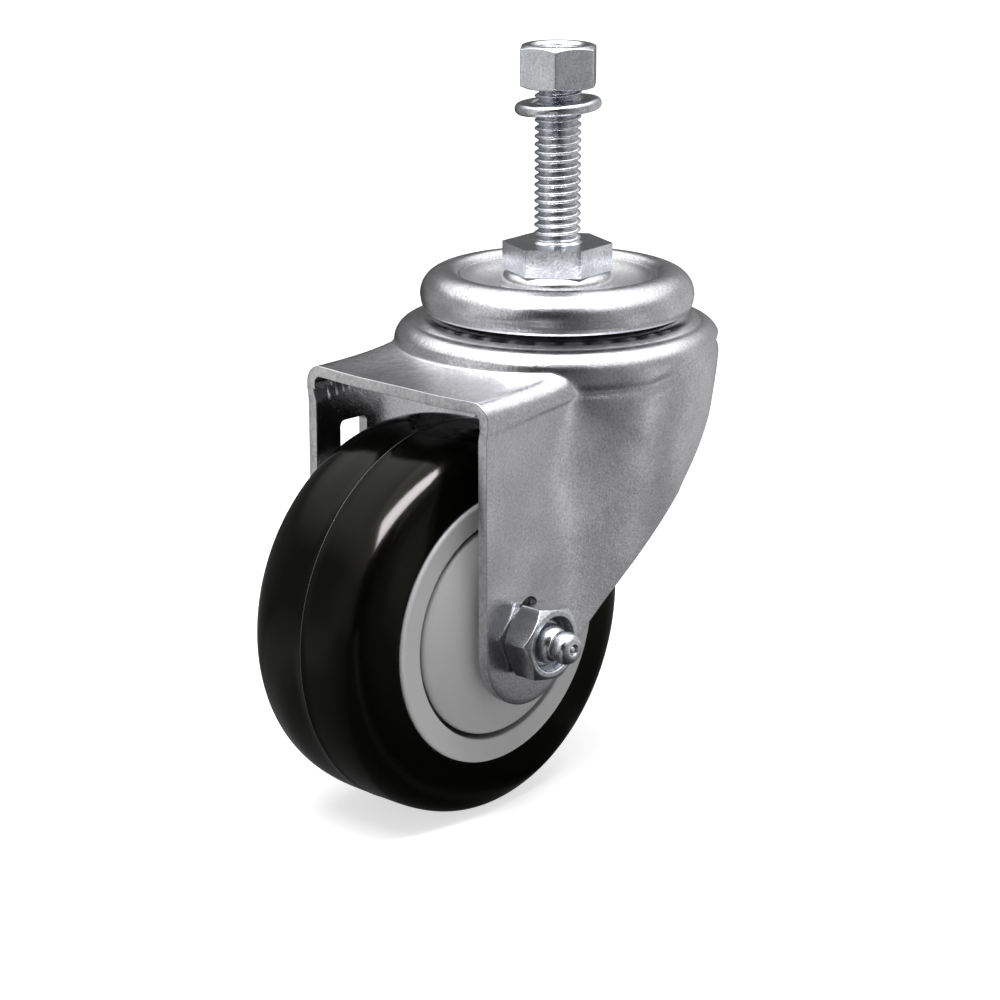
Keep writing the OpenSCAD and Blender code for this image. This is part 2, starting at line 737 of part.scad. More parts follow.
// Axle nut with the recess that leaves room for the grease fitting
module axle_nut() {
    bore = axle_r + shaft_play;
    color("gainsboro") onAxle() translate([0, 0, leg_y]) rotate([0, 0, axle_nut_turn]) difference() {
        chamferedHex(axle_nut_af, axle_nut_h);
        rotate_extrude() polygon([
            [0, -1], [bore, -1], [bore, axle_nut_h - axle_end_in], [nut_recess_d / 2, axle_nut_h],
            [nut_recess_d / 2, axle_nut_h + 1], [0, axle_nut_h + 1]
        ]);
    }
}

// Grease fitting screwed into the end of the axle bolt
module grease_fitting() {
    base = bolt_end;
    neck_z = base + fitting_shoulder_h;
    waist = neck_z + 0.3 * fitting_head_h;
    wide = neck_z + 0.5 * fitting_head_h;
    sr = fitting_shoulder_d / 2;
    color("gainsboro") onAxle() rotate_extrude() polygon(concat(
        [[duct_r, base - fitting_stub_len], [stub_r, base - fitting_stub_len], [stub_r, base], [sr, base]],
        bend([sr, base + 0.45 * fitting_shoulder_h], [sr, neck_z], [fitting_neck_d / 2, neck_z], 6),
        [[fitting_neck_d / 2, waist], [fitting_head_d / 2, wide], [fitting_head_d / 2, wide + 0.4]],
        [[fitting_tip_d / 2, fitting_tip], [0.75 * check_r, fitting_tip]],
        [[cavity_r, check_ball_y + 0.35 * check_r], [cavity_r, check_ball_y - spring_len - check_r]],
        [[duct_r, check_ball_y - spring_len - check_r - 0.2]]
    ));
}

// Check ball just inside the fitting's tip
module check_ball() {
    color("white") onAxle() translate([0, 0, check_ball_y]) sphere(r = check_r, $fn = 32);
}

// Spring behind the check ball
module check_spring() {
    coils = 4;
    steps = 12;
    sides = 8;
    coil_r = check_r - spring_wire;
    top = check_ball_y - check_r;
    count = coils * steps;
    rise = (spring_len - 2 * spring_wire) / count;
    ring = [for (i = [0:count], k = [0:sides - 1]) let (
        a = 360 * i / steps, b = 360 * k / sides, r = coil_r + spring_wire / 2 * cos(b))
        [r * cos(a), r * sin(a), top - spring_len + spring_wire + i * rise + spring_wire / 2 * sin(b)]];
    skin = [for (i = [0:count - 1], k = [0:sides - 1]) let (j = (k + 1) % sides)
        [i * sides + k, (i + 1) * sides + k, (i + 1) * sides + j, i * sides + j]];
    ends = [[for (k = [0:sides - 1]) k], [for (k = [sides - 1:-1:0]) count * sides + k]];
    color("silver") onAxle() polyhedron(points = ring, faces = concat(skin, ends), convexity = 8);
}

stem();
stem_nut();
lock_washer();
top_raceway();
lower_race();
upper_balls();
lower_balls();
fork();
tyre();
hub();
onAxle() bearingOuter();  // bearing_outer_near
onAxleFar() bearingOuter();  // bearing_outer_far
onAxle() bearingInner();  // bearing_inner_near
onAxleFar() bearingInner();  // bearing_inner_far
onAxle() bearingBalls();  // bearing_balls_near
onAxleFar() bearingBalls();  // bearing_balls_far
onAxle() bearingShield();  // bearing_shield_near
onAxleFar() bearingShield();  // bearing_shield_far
bearing_spacer();
axle_sleeve();
onAxle() threadGuard();  // thread_guard_near
onAxleFar() threadGuard();  // thread_guard_far
axle_bolt();
axle_nut();
grease_fitting();
check_ball();
check_spring();
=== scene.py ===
import json
import math

import bmesh
import bpy
import numpy as np
from mathutils import Matrix, Vector

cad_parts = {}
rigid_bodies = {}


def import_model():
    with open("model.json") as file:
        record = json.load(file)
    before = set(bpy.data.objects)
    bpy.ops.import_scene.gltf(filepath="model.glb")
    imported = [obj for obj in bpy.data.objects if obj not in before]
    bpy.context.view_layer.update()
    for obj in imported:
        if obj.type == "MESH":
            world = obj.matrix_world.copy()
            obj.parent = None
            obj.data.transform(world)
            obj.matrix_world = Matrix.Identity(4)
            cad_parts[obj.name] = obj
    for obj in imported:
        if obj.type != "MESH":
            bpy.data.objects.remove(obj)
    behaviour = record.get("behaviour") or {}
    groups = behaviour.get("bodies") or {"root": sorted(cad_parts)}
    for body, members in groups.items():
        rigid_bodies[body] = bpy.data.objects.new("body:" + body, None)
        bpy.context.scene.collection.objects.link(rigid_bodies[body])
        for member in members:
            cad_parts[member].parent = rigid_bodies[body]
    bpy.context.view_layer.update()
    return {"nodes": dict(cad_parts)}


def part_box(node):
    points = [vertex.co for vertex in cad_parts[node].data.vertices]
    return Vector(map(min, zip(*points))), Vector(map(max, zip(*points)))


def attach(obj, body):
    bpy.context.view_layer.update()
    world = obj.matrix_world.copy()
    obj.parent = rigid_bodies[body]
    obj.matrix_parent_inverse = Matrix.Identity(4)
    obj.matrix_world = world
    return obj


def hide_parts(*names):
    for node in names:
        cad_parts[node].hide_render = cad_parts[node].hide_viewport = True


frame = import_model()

mm = 0.001


# Shared helpers: shapes are worked out in millimetres, in the castor's own frame

def boxOf(node):
    low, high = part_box(node)
    return np.array(low) / mm, np.array(high) / mm


def newObject(name, data):
    made = bpy.data.objects.new(name, data)
    bpy.context.scene.collection.objects.link(made)
    return made


def newSolid(name, shape):  # its faces look outwards
    verts, faces = shape
    mesh = bpy.data.meshes.new(name)
    mesh.from_pydata([Vector(v) * mm for v in verts], [], faces)
    mesh.validate()
    bm = bmesh.new()
    bm.from_mesh(mesh)
    bmesh.ops.recalc_face_normals(bm, faces=bm.faces)
    bm.to_mesh(mesh)
    bm.free()
    return newObject(name, mesh)


def makePiece(name, shape, material, body, nodes, sharp=32):
    piece = newSolid(name, shape)
    for face in piece.data.polygons:
        face.use_smooth = True
    piece.data.set_sharp_from_angle(angle=math.radians(sharp))
    piece.data.materials.append(material)
    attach(piece, body)
    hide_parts(*nodes)
    return piece


def softenEdges(piece, width, angle=32, segments=2):
    bevel = piece.modifiers.new("softEdges", "BEVEL")
    bevel.width = width * mm
    bevel.segments = segments
    bevel.limit_method = "ANGLE"
    bevel.angle_limit = math.radians(angle)


def joined(*shapes):
    verts, faces = [], []
    for v, f in shapes:
        start = len(verts)
        verts += list(v)
        faces += [[start + i for i in face] for face in f]
    return verts, faces


def moved(shape, change):
    verts, faces = shape
    return [change(v) for v in verts], faces


def arc(centre, radius, start, end, steps):
    turns = [math.radians(start + (end - start) * i / steps) for i in range(steps + 1)]
    return [(centre[0] + radius * math.cos(a), centre[1] + radius * math.sin(a)) for a in turns]


def curve(a, b, c, steps):  # from a to c, pulled towards b
    points = []
    for i in range(steps + 1):
        t = i / steps
        points.append(tuple((1 - t) ** 2 * p + 2 * t * (1 - t) * q + t * t * r for p, q, r in zip(a, b, c)))
    return points


def ringFaces(rings, closed):
    faces = []
    pairs = list(zip(rings, rings[1:])) + ([(rings[-1], rings[0])] if closed else [])
    for low, high in pairs:
        for j in range(len(low)):
            k = (j + 1) % len(low)
            corners = list(dict.fromkeys((low[j], low[k], high[k], high[j])))
            if len(corners) > 2:
                faces.append(corners)
    return faces


def lathe(profile, columns, closed=True):  # profile points are (radius, height)
    verts, rings = [], []
    for r, z in profile:
        if r < 1e-6:
            rings.append([len(verts)] * columns)
            verts.append((0, 0, z))
        else:
            rings.append(list(range(len(verts), len(verts) + columns)))
            turns = [2 * math.pi * j / columns for j in range(columns)]
            verts += [(r * math.cos(a), r * math.sin(a), z) for a in turns]
    return verts, ringFaces(rings, closed)


def ballRing(count, pitchR, ballR, z, segments=20):
    balls = []
    for i in range(count):
        a = 2 * math.pi * i / count
        profile = [(0, -ballR)] + arc((0, 0), ballR, -80, 80, 14) + [(0, ballR)]
        place = (pitchR * math.cos(a), pitchR * math.sin(a), z)
        balls.append(moved(lathe(profile, segments, closed=False), lambda v: tuple(np.add(v, place))))
    return joined(*balls)


wheelLow, wheelHigh = boxOf("tyre")
axleAt = (wheelLow + wheelHigh) / 2


def onAxle(shape, side=1):  # side 1 is the near side, -1 the far side; +Z of the shape points outwards
    return moved(shape, lambda v: (v[0] + axleAt[0], -side * v[2], side * v[1] + axleAt[2]))


# Materials

def addNode(tree, kind, **values):
    node = tree.nodes.new(kind)
    for key, value in values.items():
        if key.startswith("in_"):
            node.inputs[key[3:].replace("_", " ")].default_value = value
        else:
            setattr(node, key, value)
    return node


def newSurface(name, colors, floats):  # node group that turns them into a color, roughness and height
    group = bpy.data.node_groups.new(name, "ShaderNodeTree")
    inputs = {"Vector": "Vector", **dict.fromkeys(colors, "Color"), **dict.fromkeys(floats, "Float")}
    outputs = {"Color": "Color", "Roughness": "Float", "Height": "Float"}
    for side, sockets in (("INPUT", inputs), ("OUTPUT", outputs)):
        for label, kind in sockets.items():
            group.interface.new_socket(name=label, in_out=side, socket_type="NodeSocket" + kind)
    return group, group.nodes.new("NodeGroupInput").outputs, group.nodes.new("NodeGroupOutput").inputs


def finishSurface(group, end, *results):
    for result, label in zip(results, ("Color", "Roughness", "Height")):
        group.links.new(result, end[label])
    return group


def feed(tree, socket, value):  # a number or a tone is set, an output is linked
    if isinstance(value, (int, float, tuple)):
        socket.default_value = value
    else:
        tree.links.new(value, socket)


def mathNode(tree, operation, a, b, clamp=False):
    node = addNode(tree, "ShaderNodeMath", operation=operation, use_clamp=clamp)
    for socket, value in zip(node.inputs, (a, b)):
        feed(tree, socket, value)
    return node.outputs[0]


def mixColors(tree, factor, a, b, blend="MIX"):
    node = addNode(tree, "ShaderNodeMix", data_type="RGBA", blend_type=blend)
    for place, value in ((0, factor), (6, a), (7, b)):  # the sockets that mix colours
        feed(tree, node.inputs[place], value)
    return node.outputs[2]


def noise(tree, vector, scale, detail, rough):
    node = addNode(tree, "ShaderNodeTexNoise", in_Detail=detail, in_Roughness=rough)
    feed(tree, node.inputs["Vector"], vector)
    feed(tree, node.inputs["Scale"], scale)
    return node.outputs["Fac"]


def centred(tree, value, amount):  # a noise value made to swing about zero
    return mathNode(tree, "MULTIPLY", mathNode(tree, "SUBTRACT", value, 0.5), amount)


def weighted(tree, a, shareA, b, shareB):
    return mathNode(tree, "ADD", mathNode(tree, "MULTIPLY", a, shareA), mathNode(tree, "MULTIPLY", b, shareB))


zincNoise = {
    "patchScale": 95.0, "patchShare": 0.55, "cloudScale": 26.0, "cloudShare": 0.45, "contrast": 2.2,
    "waveScale": 420.0, "fineHeight": 0.45, "waveHeight": 0.55,
}
plasticNoise = {"flowScale": 60.0, "fineShare": 0.5, "flowShare": 0.5, "strength": 4.0}


def makeZincGroup(s):
    group, given, end = newSurface("zincSurface", ("Light Tone", "Dark Tone"),
                                   ("Grain Scale", "Grain", "Roughness", "Spread"))
    vector = given["Vector"]
    fine = noise(group, vector, given["Grain Scale"], 4, 0.7)
    patches = noise(group, vector, s["patchScale"], 4, 0.6)
    clouds = noise(group, vector, s["cloudScale"], 2, 0.5)
    waves = noise(group, vector, s["waveScale"], 2, 0.5)
    drift = weighted(group, patches, s["patchShare"], clouds, s["cloudShare"])
    lightness = mathNode(group, "ADD", centred(group, drift, s["contrast"]), 0.5)
    lightness = mathNode(group, "ADD", lightness, centred(group, fine, given["Grain"]), clamp=True)
    color = mixColors(group, lightness, given["Dark Tone"], given["Light Tone"])
    rough = mathNode(group, "MULTIPLY", mathNode(group, "SUBTRACT", fine, lightness), given["Spread"])
    rough = mathNode(group, "ADD", given["Roughness"], rough, clamp=True)
    height = weighted(group, fine, s["fineHeight"], waves, s["waveHeight"])
    return finishSurface(group, end, color, rough, height)


def makePlasticGroup(s):
    group, given, end = newSurface("mouldedSurface", ("Base",), ("Shift", "Grain Scale", "Roughness"))
    vector = given["Vector"]
    fine = noise(group, vector, given["Grain Scale"], 3, 0.6)
    flow = noise(group, vector, s["flowScale"], 3, 0.5)
    amount = centred(group, weighted(group, fine, s["fineShare"], flow, s["flowShare"]), given["Shift"])
    light = mathNode(group, "ADD", 1.0, mathNode(group, "MULTIPLY", amount, s["strength"]))
    shade = addNode(group, "ShaderNodeCombineColor")
    for socket in shade.inputs[:3]:
        group.links.new(light, socket)
    color = mixColors(group, 1.0, given["Base"], shade.outputs[0], "MULTIPLY")
    rough = mathNode(group, "ADD", given["Roughness"], amount, clamp=True)
    return finishSurface(group, end, color, rough, fine)


zincGroup = makeZincGroup(zincNoise)
plasticGroup = makePlasticGroup(plasticNoise)


def dressed(name, group, values, bumpStrength, bumpDistance, shader):
    material = bpy.data.materials.new(name)
    material.use_nodes = True
    tree = material.node_tree
    bsdf = tree.nodes["Principled BSDF"]
    for key, value in shader.items():
        bsdf.inputs[key].default_value = value
    place = addNode(tree, "ShaderNodeTexCoord")
    surface = addNode(tree, "ShaderNodeGroup", node_tree=group)
    for key, value in values.items():
        surface.inputs[key].default_value = value
    bump = addNode(tree, "ShaderNodeBump", in_Strength=bumpStrength, in_Distance=bumpDistance * mm)
    for start, end in ((place.outputs["Object"], surface.inputs["Vector"]),
                       (surface.outputs["Color"], bsdf.inputs["Base Color"]),
                       (surface.outputs["Roughness"], bsdf.inputs["Roughness"]),
                       (surface.outputs["Height"], bump.inputs["Height"]),
                       (bump.outputs["Normal"], bsdf.inputs["Normal"])):
        tree.links.new(start, end)
    return material


def tone(r, g, b):
    return (r, g, b, 1)


pressedZinc = dressed("pressedZinc", zincGroup, {
    "Light Tone": tone(0.74, 0.74, 0.755), "Dark Tone": tone(0.43, 0.42, 0.45),
    "Grain Scale": 2100.0, "Grain": 2.2, "Roughness": 0.23, "Spread": 0.16,
}, bumpStrength=0.9, bumpDistance=0.1, shader={"Metallic": 1.0})
# darker, rougher copy of the pressed zinc for the dish; its darker tones are painted shade for the dish's dim
# reflection
dishShadedZinc = dressed("dishShadedZinc", zincGroup, {
    "Light Tone": tone(0.52, 0.52, 0.53), "Dark Tone": tone(0.3, 0.3, 0.315),
    "Grain Scale": 2100.0, "Grain": 2.4, "Roughness": 0.34, "Spread": 0.16,
}, bumpStrength=0.9, bumpDistance=0.12, shader={"Metallic": 1.0})
shearedZinc = dressed("shearedZinc", zincGroup, {
    "Light Tone": tone(0.8, 0.8, 0.8), "Dark Tone": tone(0.42, 0.42, 0.44),
    "Grain Scale": 1500.0, "Grain": 2.2, "Roughness": 0.42, "Spread": 0.2,
}, bumpStrength=0.9, bumpDistance=0.14, shader={"Metallic": 0.9})
turnedZinc = dressed("turnedZinc", zincGroup, {
    "Light Tone": tone(0.82, 0.84, 0.87), "Dark Tone": tone(0.45, 0.46, 0.49),
    "Grain Scale": 1900.0, "Grain": 2.2, "Roughness": 0.19, "Spread": 0.15,
}, bumpStrength=0.85, bumpDistance=0.1, shader={"Metallic": 1.0})
ballSteel = dressed("ballSteel", zincGroup, {
    "Light Tone": tone(0.75, 0.75, 0.77), "Dark Tone": tone(0.6, 0.6, 0.62),
    "Grain Scale": 3000.0, "Grain": 0.2, "Roughness": 0.12, "Spread": 0.05,
}, bumpStrength=0.05, bumpDistance=0.01, shader={"Metallic": 1.0})
groundSteel = dressed("groundSteel", zincGroup, {
    "Light Tone": tone(0.55, 0.55, 0.56), "Dark Tone": tone(0.42, 0.42, 0.43),
    "Grain Scale": 2600.0, "Grain": 0.4, "Roughness": 0.28, "Spread": 0.1,
}, bumpStrength=0.15, bumpDistance=0.02, shader={"Metallic": 1.0})
tyreBlack = dressed("tyreBlack", plasticGroup, {
    "Base": tone(0.0014, 0.0014, 0.0011), "Shift": 0.14, "Grain Scale": 900.0, "Roughness": 0.15,
}, bumpStrength=0.06, bumpDistance=0.03, shader={
    "Specular IOR Level": 0.1, "Specular Tint": tone(1.0, 0.98, 0.78),
})
# lighter copy of the tyre black for the seam ridge: the lighter base is a painted highlight along it; it is
# also rougher and more reflective
seamHighlightBlack = dressed("seamHighlightBlack", plasticGroup, {
    "Base": tone(0.045, 0.044, 0.036), "Shift": 0.4, "Grain Scale": 1200.0, "Roughness": 0.5,
}, bumpStrength=0.3, bumpDistance=0.05, shader={"Specular IOR Level": 0.4})
hubGrey = dressed("hubGrey", plasticGroup, {
    "Base": tone(0.45, 0.45, 0.455), "Shift": 0.06, "Grain Scale": 2600.0, "Roughness": 0.42,
}, bumpStrength=0.25, bumpDistance=0.02, shader={})
guardGrey = dressed("guardGrey", plasticGroup, {
    "Base": tone(0.38, 0.38, 0.385), "Shift": 0.06, "Grain Scale": 2200.0, "Roughness": 0.46,
}, bumpStrength=0.3, bumpDistance=0.02, shader={})
print("materials ready")


# Threaded stem with its hexagon and kingpin

def hexOutline(across, corner, turn, steps=10):  # closed outline of a hexagon with rounded corners
    reach = (across / 2 - corner) / math.cos(math.radians(30))
    points = []
    for i in range(6):
        a = 60 * i + turn
        at = [reach * f(math.radians(a)) for f in (math.cos, math.sin)]
        nextAt = [reach * f(math.radians(a + 60)) for f in (math.cos, math.sin)]
        out = [corner * f(math.radians(a + 30)) for f in (math.cos, math.sin)]
        points += arc(at, corner, a - 30, a + 30, 4)
        for k in range(1, steps):
            points.append(tuple(p + (q - p) * k / steps + o for p, q, o in zip(at, nextAt, out)))
    return points


def hexBlock(across, low, high, turn, drop, flat, inside, corner, lowDrop=0.0):
    # beyond the radius flat the top falls off, by drop at the corners, and the bottom likewise by lowDrop;
    # inside lists (radius, height) rings from the top's hole down to the bottom's, or is empty for a solid
    outline = hexOutline(across, corner, turn)
    widest = across / math.sqrt(3)
    verts, rings = [], []

    def addRing(points):
        rings.append(list(range(len(verts), len(verts) + len(points))))
        verts.extend(points)

    def scaled(radius):
        return [(x * radius / math.hypot(x, y), y * radius / math.hypot(x, y)) for x, y in outline]

    def cut(x, y, most):
        return most * max(0.0, math.hypot(x, y) - flat) / (widest - flat)

    addRing([(x, y, low) for x, y in (scaled(flat) if lowDrop else outline)])
    if lowDrop:
        addRing([(x, y, low + cut(x, y, lowDrop)) for x, y in outline])
    addRing([(x, y, high - cut(x, y, drop)) for x, y in outline])
    addRing([(x, y, high) for x, y in scaled(flat)])
    for radius, z in inside:
        addRing([(x, y, z) for x, y in scaled(radius)])
    faces = ringFaces(rings, bool(inside))
    if not inside:
        faces += [rings[0][::-1], rings[-1]]
    return verts, faces


stemLow, stemHigh = boxOf("stem")
stem = {
    # thread: it starts lead turns below the hexagon's top and is cut off at root and at the tip
    "crestR": 4.6, "depth": 0.86, "pitch": 1.5875, "pointsPerTurn": 14, "valleyPower": 1.25, "lead": 1.2,
    "length": stemHigh[2], "tip": 0.95, "tipCut": 0.002, "root": -0.6,
    "neck": 4.25, "neckEnd": 0.3, "fadeEnd": 0.9, "foot": 0.7,
    "hexAcross": 19.05, "hexHeight": 5.45, "hexTurn": 6.6, "hexFlat": 9.3, "hexDrop": 0.0, "hexCorner": 0.45,
    "kingpin": 8.0, "tailR": 6.0, "tailLength": 2.0, "rivetTop": -24.22, "rivetR": 8.8, "rivetEdge": 0.8,
    "rivetLow": stemLow[2], "soft": 0.2,
}


def threadShape(s, columns=64):
    per = s["pointsPerTurn"]
    rows = (int(s["length"] / s["pitch"]) + 3) * per

    def radius(u, z):
        valley = (0.5 - 0.5 * math.cos(2 * math.pi * u)) ** s["valleyPower"]
        fade = min(1.0, max(0.0, (z - s["neckEnd"]) / (s["fadeEnd"] - s["neckEnd"])))
        r = s["neck"] + (s["crestR"] - s["depth"] * valley - s["neck"]) * fade
        if z < s["foot"]:
            r = max(r, s["neck"] + s["foot"] * (1 - max(z, 0) / s["foot"]) ** 2)
        return min(r, s["crestR"] - s["tip"] + max(0.0, s["length"] - z))

    bm = bmesh.new()
    grid = []
    for i in range(rows + 1):
        row = []
        u = i % per / per - 0.5
        for j in range(columns):
            z = s["pitch"] * (i // per + u + j / columns) - s["lead"] * s["pitch"]
            a = 2 * math.pi * j / columns
            r = radius(u, z)
            row.append(bm.verts.new((r * math.cos(a), r * math.sin(a), z)))
        grid.append(row)
    for i in range(rows):
        for j in range(columns):
            if j < columns - 1:
                bm.faces.new((grid[i][j], grid[i][j + 1], grid[i + 1][j + 1], grid[i + 1][j]))
            elif i + per + 1 <= rows:
                bm.faces.new((grid[i][j], grid[i + per][0], grid[i + per + 1][0], grid[i + 1][j]))
    for z, up in ((s["length"] - s["tipCut"], 1), (s["root"], -1)):
        everything = list(bm.verts) + list(bm.edges) + list(bm.faces)
        cut = bmesh.ops.bisect_plane(bm, geom=everything, plane_co=(0, 0, z), plane_no=(0, 0, up),
                                     clear_outer=True)
        rim = [e for e in cut["geom_cut"] if isinstance(e, bmesh.types.BMEdge)]
        bmesh.ops.contextual_create(bm, geom=rim)
    bm.verts.index_update()
    shape = [tuple(v.co) for v in bm.verts], [[v.index for v in f.verts] for f in bm.faces]
    bm.free()
    return shape


def buildStem(s):
    low, head, rivet = -s["hexHeight"], s["rivetR"], s["rivetTop"]
    block = hexBlock(s["hexAcross"], low, 0, s["hexTurn"], s["hexDrop"], s["hexFlat"], [], s["hexCorner"])
    tail, step = s["tailR"], rivet + s["tailLength"]
    pin = [(0, -1), (s["kingpin"], low), (s["kingpin"], step), (tail, step), (tail, rivet), (head, rivet),
           (head, rivet - s["rivetEdge"])]
    pin += curve((head - 0.3, rivet - 1.3), (head * 0.6, s["rivetLow"]), (0, s["rivetLow"]), 6)
    shape = joined(threadShape(s), block, lathe(pin, 72, closed=False))
    softenEdges(makePiece("stem_turned", shape, turnedZinc, "stem", ["stem"], 40), s["soft"], 38)


buildStem(stem)
print("stem built")


# Nut and lock washer near the end of the stem

nutLow, nutHigh = boxOf("stem_nut")
washerLow, washerHigh = boxOf("lock_washer")
stemNut = {
    "across": 14.29, "turn": 37.8, "flat": 6.7, "drop": 0.62, "lowDrop": 0.6, "corner": 0.3, "bore": 4.8,
    "lead": 0.65, "low": nutLow[2], "high": nutHigh[2], "soft": 0.14,
}
washer = {
    "inner": 5.0, "outer": 8.5, "thick": 2.2, "round": 1.0, "innerRound": 0.4, "tilt": -3.9,
    "tiltAxis": (0.73, 0.68, 0), "split": 43, "splitGap": 7.0, "rise": 0.35, "steps": 120,
    "centre": (washerLow[2] + washerHigh[2]) / 2 - 0.1,
}


def buildStemNut(s):
    low, high, bore, lead = s["low"], s["high"], s["bore"], s["lead"]
    inside = [(bore + lead, high), (bore, high - lead), (bore, low + lead), (bore + lead, low)]
    shape = hexBlock(s["across"], low, high, s["turn"], s["drop"], s["flat"], inside, s["corner"],
                     s["lowDrop"])
    softenEdges(makePiece("stem_nut_turned", shape, turnedZinc, "nut", ["stem_nut"], 18), s["soft"])


def buildWasher(s):
    soft, fine, half, steps = s["round"], s["innerRound"], s["thick"] / 2, s["steps"]
    section = arc((s["outer"] - soft, -half + soft), soft, -90, 0, 5)
    section += arc((s["outer"] - soft, half - soft), soft, 0, 90, 5)
    section += arc((s["inner"] + fine, half - fine), fine, 90, 180, 3)
    section += arc((s["inner"] + fine, -half + fine), fine, 180, 270, 3)
    verts, rings = [], []
    for i in range(steps + 1):
        share = i / steps
        a = math.radians(s["split"] + s["splitGap"] / 2 + (360 - s["splitGap"]) * share)
        lift = s["rise"] * (share - 0.5)
        rings.append(list(range(len(verts), len(verts) + len(section))))
        verts += [(r * math.cos(a), r * math.sin(a), z + lift) for r, z in section]
    faces = ringFaces(rings, False) + [rings[0][::-1], rings[-1]]
    turn = Matrix.Rotation(math.radians(s["tilt"]), 3, Vector(s["tiltAxis"]).normalized())
    shape = moved((verts, faces), lambda v: tuple(turn @ Vector(v) + Vector((0, 0, s["centre"]))))
    makePiece("lock_washer_sprung", shape, turnedZinc, "washer", ["lock_washer"], 40)


buildStemNut(stemNut)
buildWasher(washer)
print("nut and washer built")


# Top raceway and the swivel's balls; each track is wider than its balls by trackGap

trackGap = 0.05
upperBalls = {"count": 25, "pitchR": 22.9, "ballR": 2.778, "z": -10.628}
lowerBalls = {"count": 17, "pitchR": 13.5, "ballR": 2.381, "z": -21.19}
topRace = {
    "hole": 8.02, "bossTop": -5.45, "bossLow": -7.65, "bossR": 11.2, "bossRound": 1.9, "bossWall": 2.2,
    "dish": -8.9, "creaseR": 19.2, "crease": -6.35, "crownR": 21.5, "crown": -5.25, "fullness": 0.88,
    "outerR": 27.2, "widestZ": -10.5, "innerR": 25.73, "edgeZ": boxOf("top_raceway")[0][2], "edge": 0.5,
    "sheet": 2.2,
}


def buildTopRace(s, balls):
    bossR, bossRound, bossTop = s["bossR"], s["bossRound"], s["bossTop"]
    dish, under = s["dish"], s["dish"] - s["sheet"]
    creaseR, crease, crownR, crown = s["creaseR"], s["crease"], s["crownR"], s["crown"]
    outerR, widest, innerR, low = s["outerR"], s["widestZ"], s["innerR"], s["edgeZ"]
    # boss under the hexagon
    profile = [(s["hole"], bossTop), (bossR - bossRound, bossTop)]
    profile += arc((bossR - bossRound, bossTop - bossRound), bossRound, 90, 0, 7)[1:]
    # dish, and the crease where the rim rises from it
    profile += curve((bossR, dish + 1.3), (bossR + 0.1, dish), (bossR + 1.5, dish), 6)
    profile += curve((bossR + 1.7, dish), (creaseR - 1.6, dish + 0.15), (creaseR - 0.35, crease - 0.25), 14)
    profile += [(creaseR - 0.12, crease - 0.03), (creaseR + 0.05, crease + 0.06),
                (creaseR + 0.25, crease + 0.08)]
    profile += curve((creaseR + 0.45, crease + 0.1), (creaseR + 1.1, crown - 0.05), (crownR - 0.1, crown), 6)
    # round rim, its lower edge and the ball track inside it
    for a in np.radians(np.linspace(86, 2, 24)):
        side, up = math.cos(a) ** s["fullness"], math.sin(a) ** s["fullness"]
        profile.append((crownR + (outerR - crownR) * side, widest + (crown - widest) * up))
    profile += [(outerR - 0.12, widest - 0.05), (outerR - 0.14, widest - 0.5)]
    profile += curve((outerR - 0.18, widest - 0.8), (outerR - 0.4, low + 0.7),
                     (innerR + s["edge"] + 0.12, low + 0.2), 8)
    profile += [(innerR + s["edge"], low + 0.02), (innerR + 0.05, low)]
    profile += arc((balls["pitchR"], balls["z"]), balls["ballR"] + trackGap, 0, 150, 14)
    # underside of the dish and the boss
    profile += curve((creaseR, dish), (creaseR - 1.5, under), (bossR + 1.4, under), 6)
    wall = bossR - s["bossWall"]
    profile += [(wall, under), (wall, s["bossLow"]), (s["hole"], s["bossLow"])]
    shape = lathe(profile, 180)
    piece = makePiece("top_raceway_pressed", shape, pressedZinc, "stem", ["top_raceway"], 24)
    piece.data.materials.append(dishShadedZinc)
    for face in piece.data.polygons:  # the dish's upward faces take a darker, rougher copy of the zinc: its darker tone is painted shade for the dim reflection there
        reach = math.hypot(face.center.x, face.center.y) / mm
        face.material_index = int(bossR + 0.3 < reach < creaseR - 0.1 and face.normal.z > 0.2)


buildTopRace(topRace, upperBalls)
for name, s in (("upper", upperBalls), ("lower", lowerBalls)):
    shape = ballRing(s["count"], s["pitchR"], s["ballR"], s["z"])
    makePiece(name + "_balls_polished", shape, ballSteel, "swivel_balls", [name + "_balls"])
print("swivel built")


# Fork: one pressed sheet, grown as rows from the hole in its web to its free edge

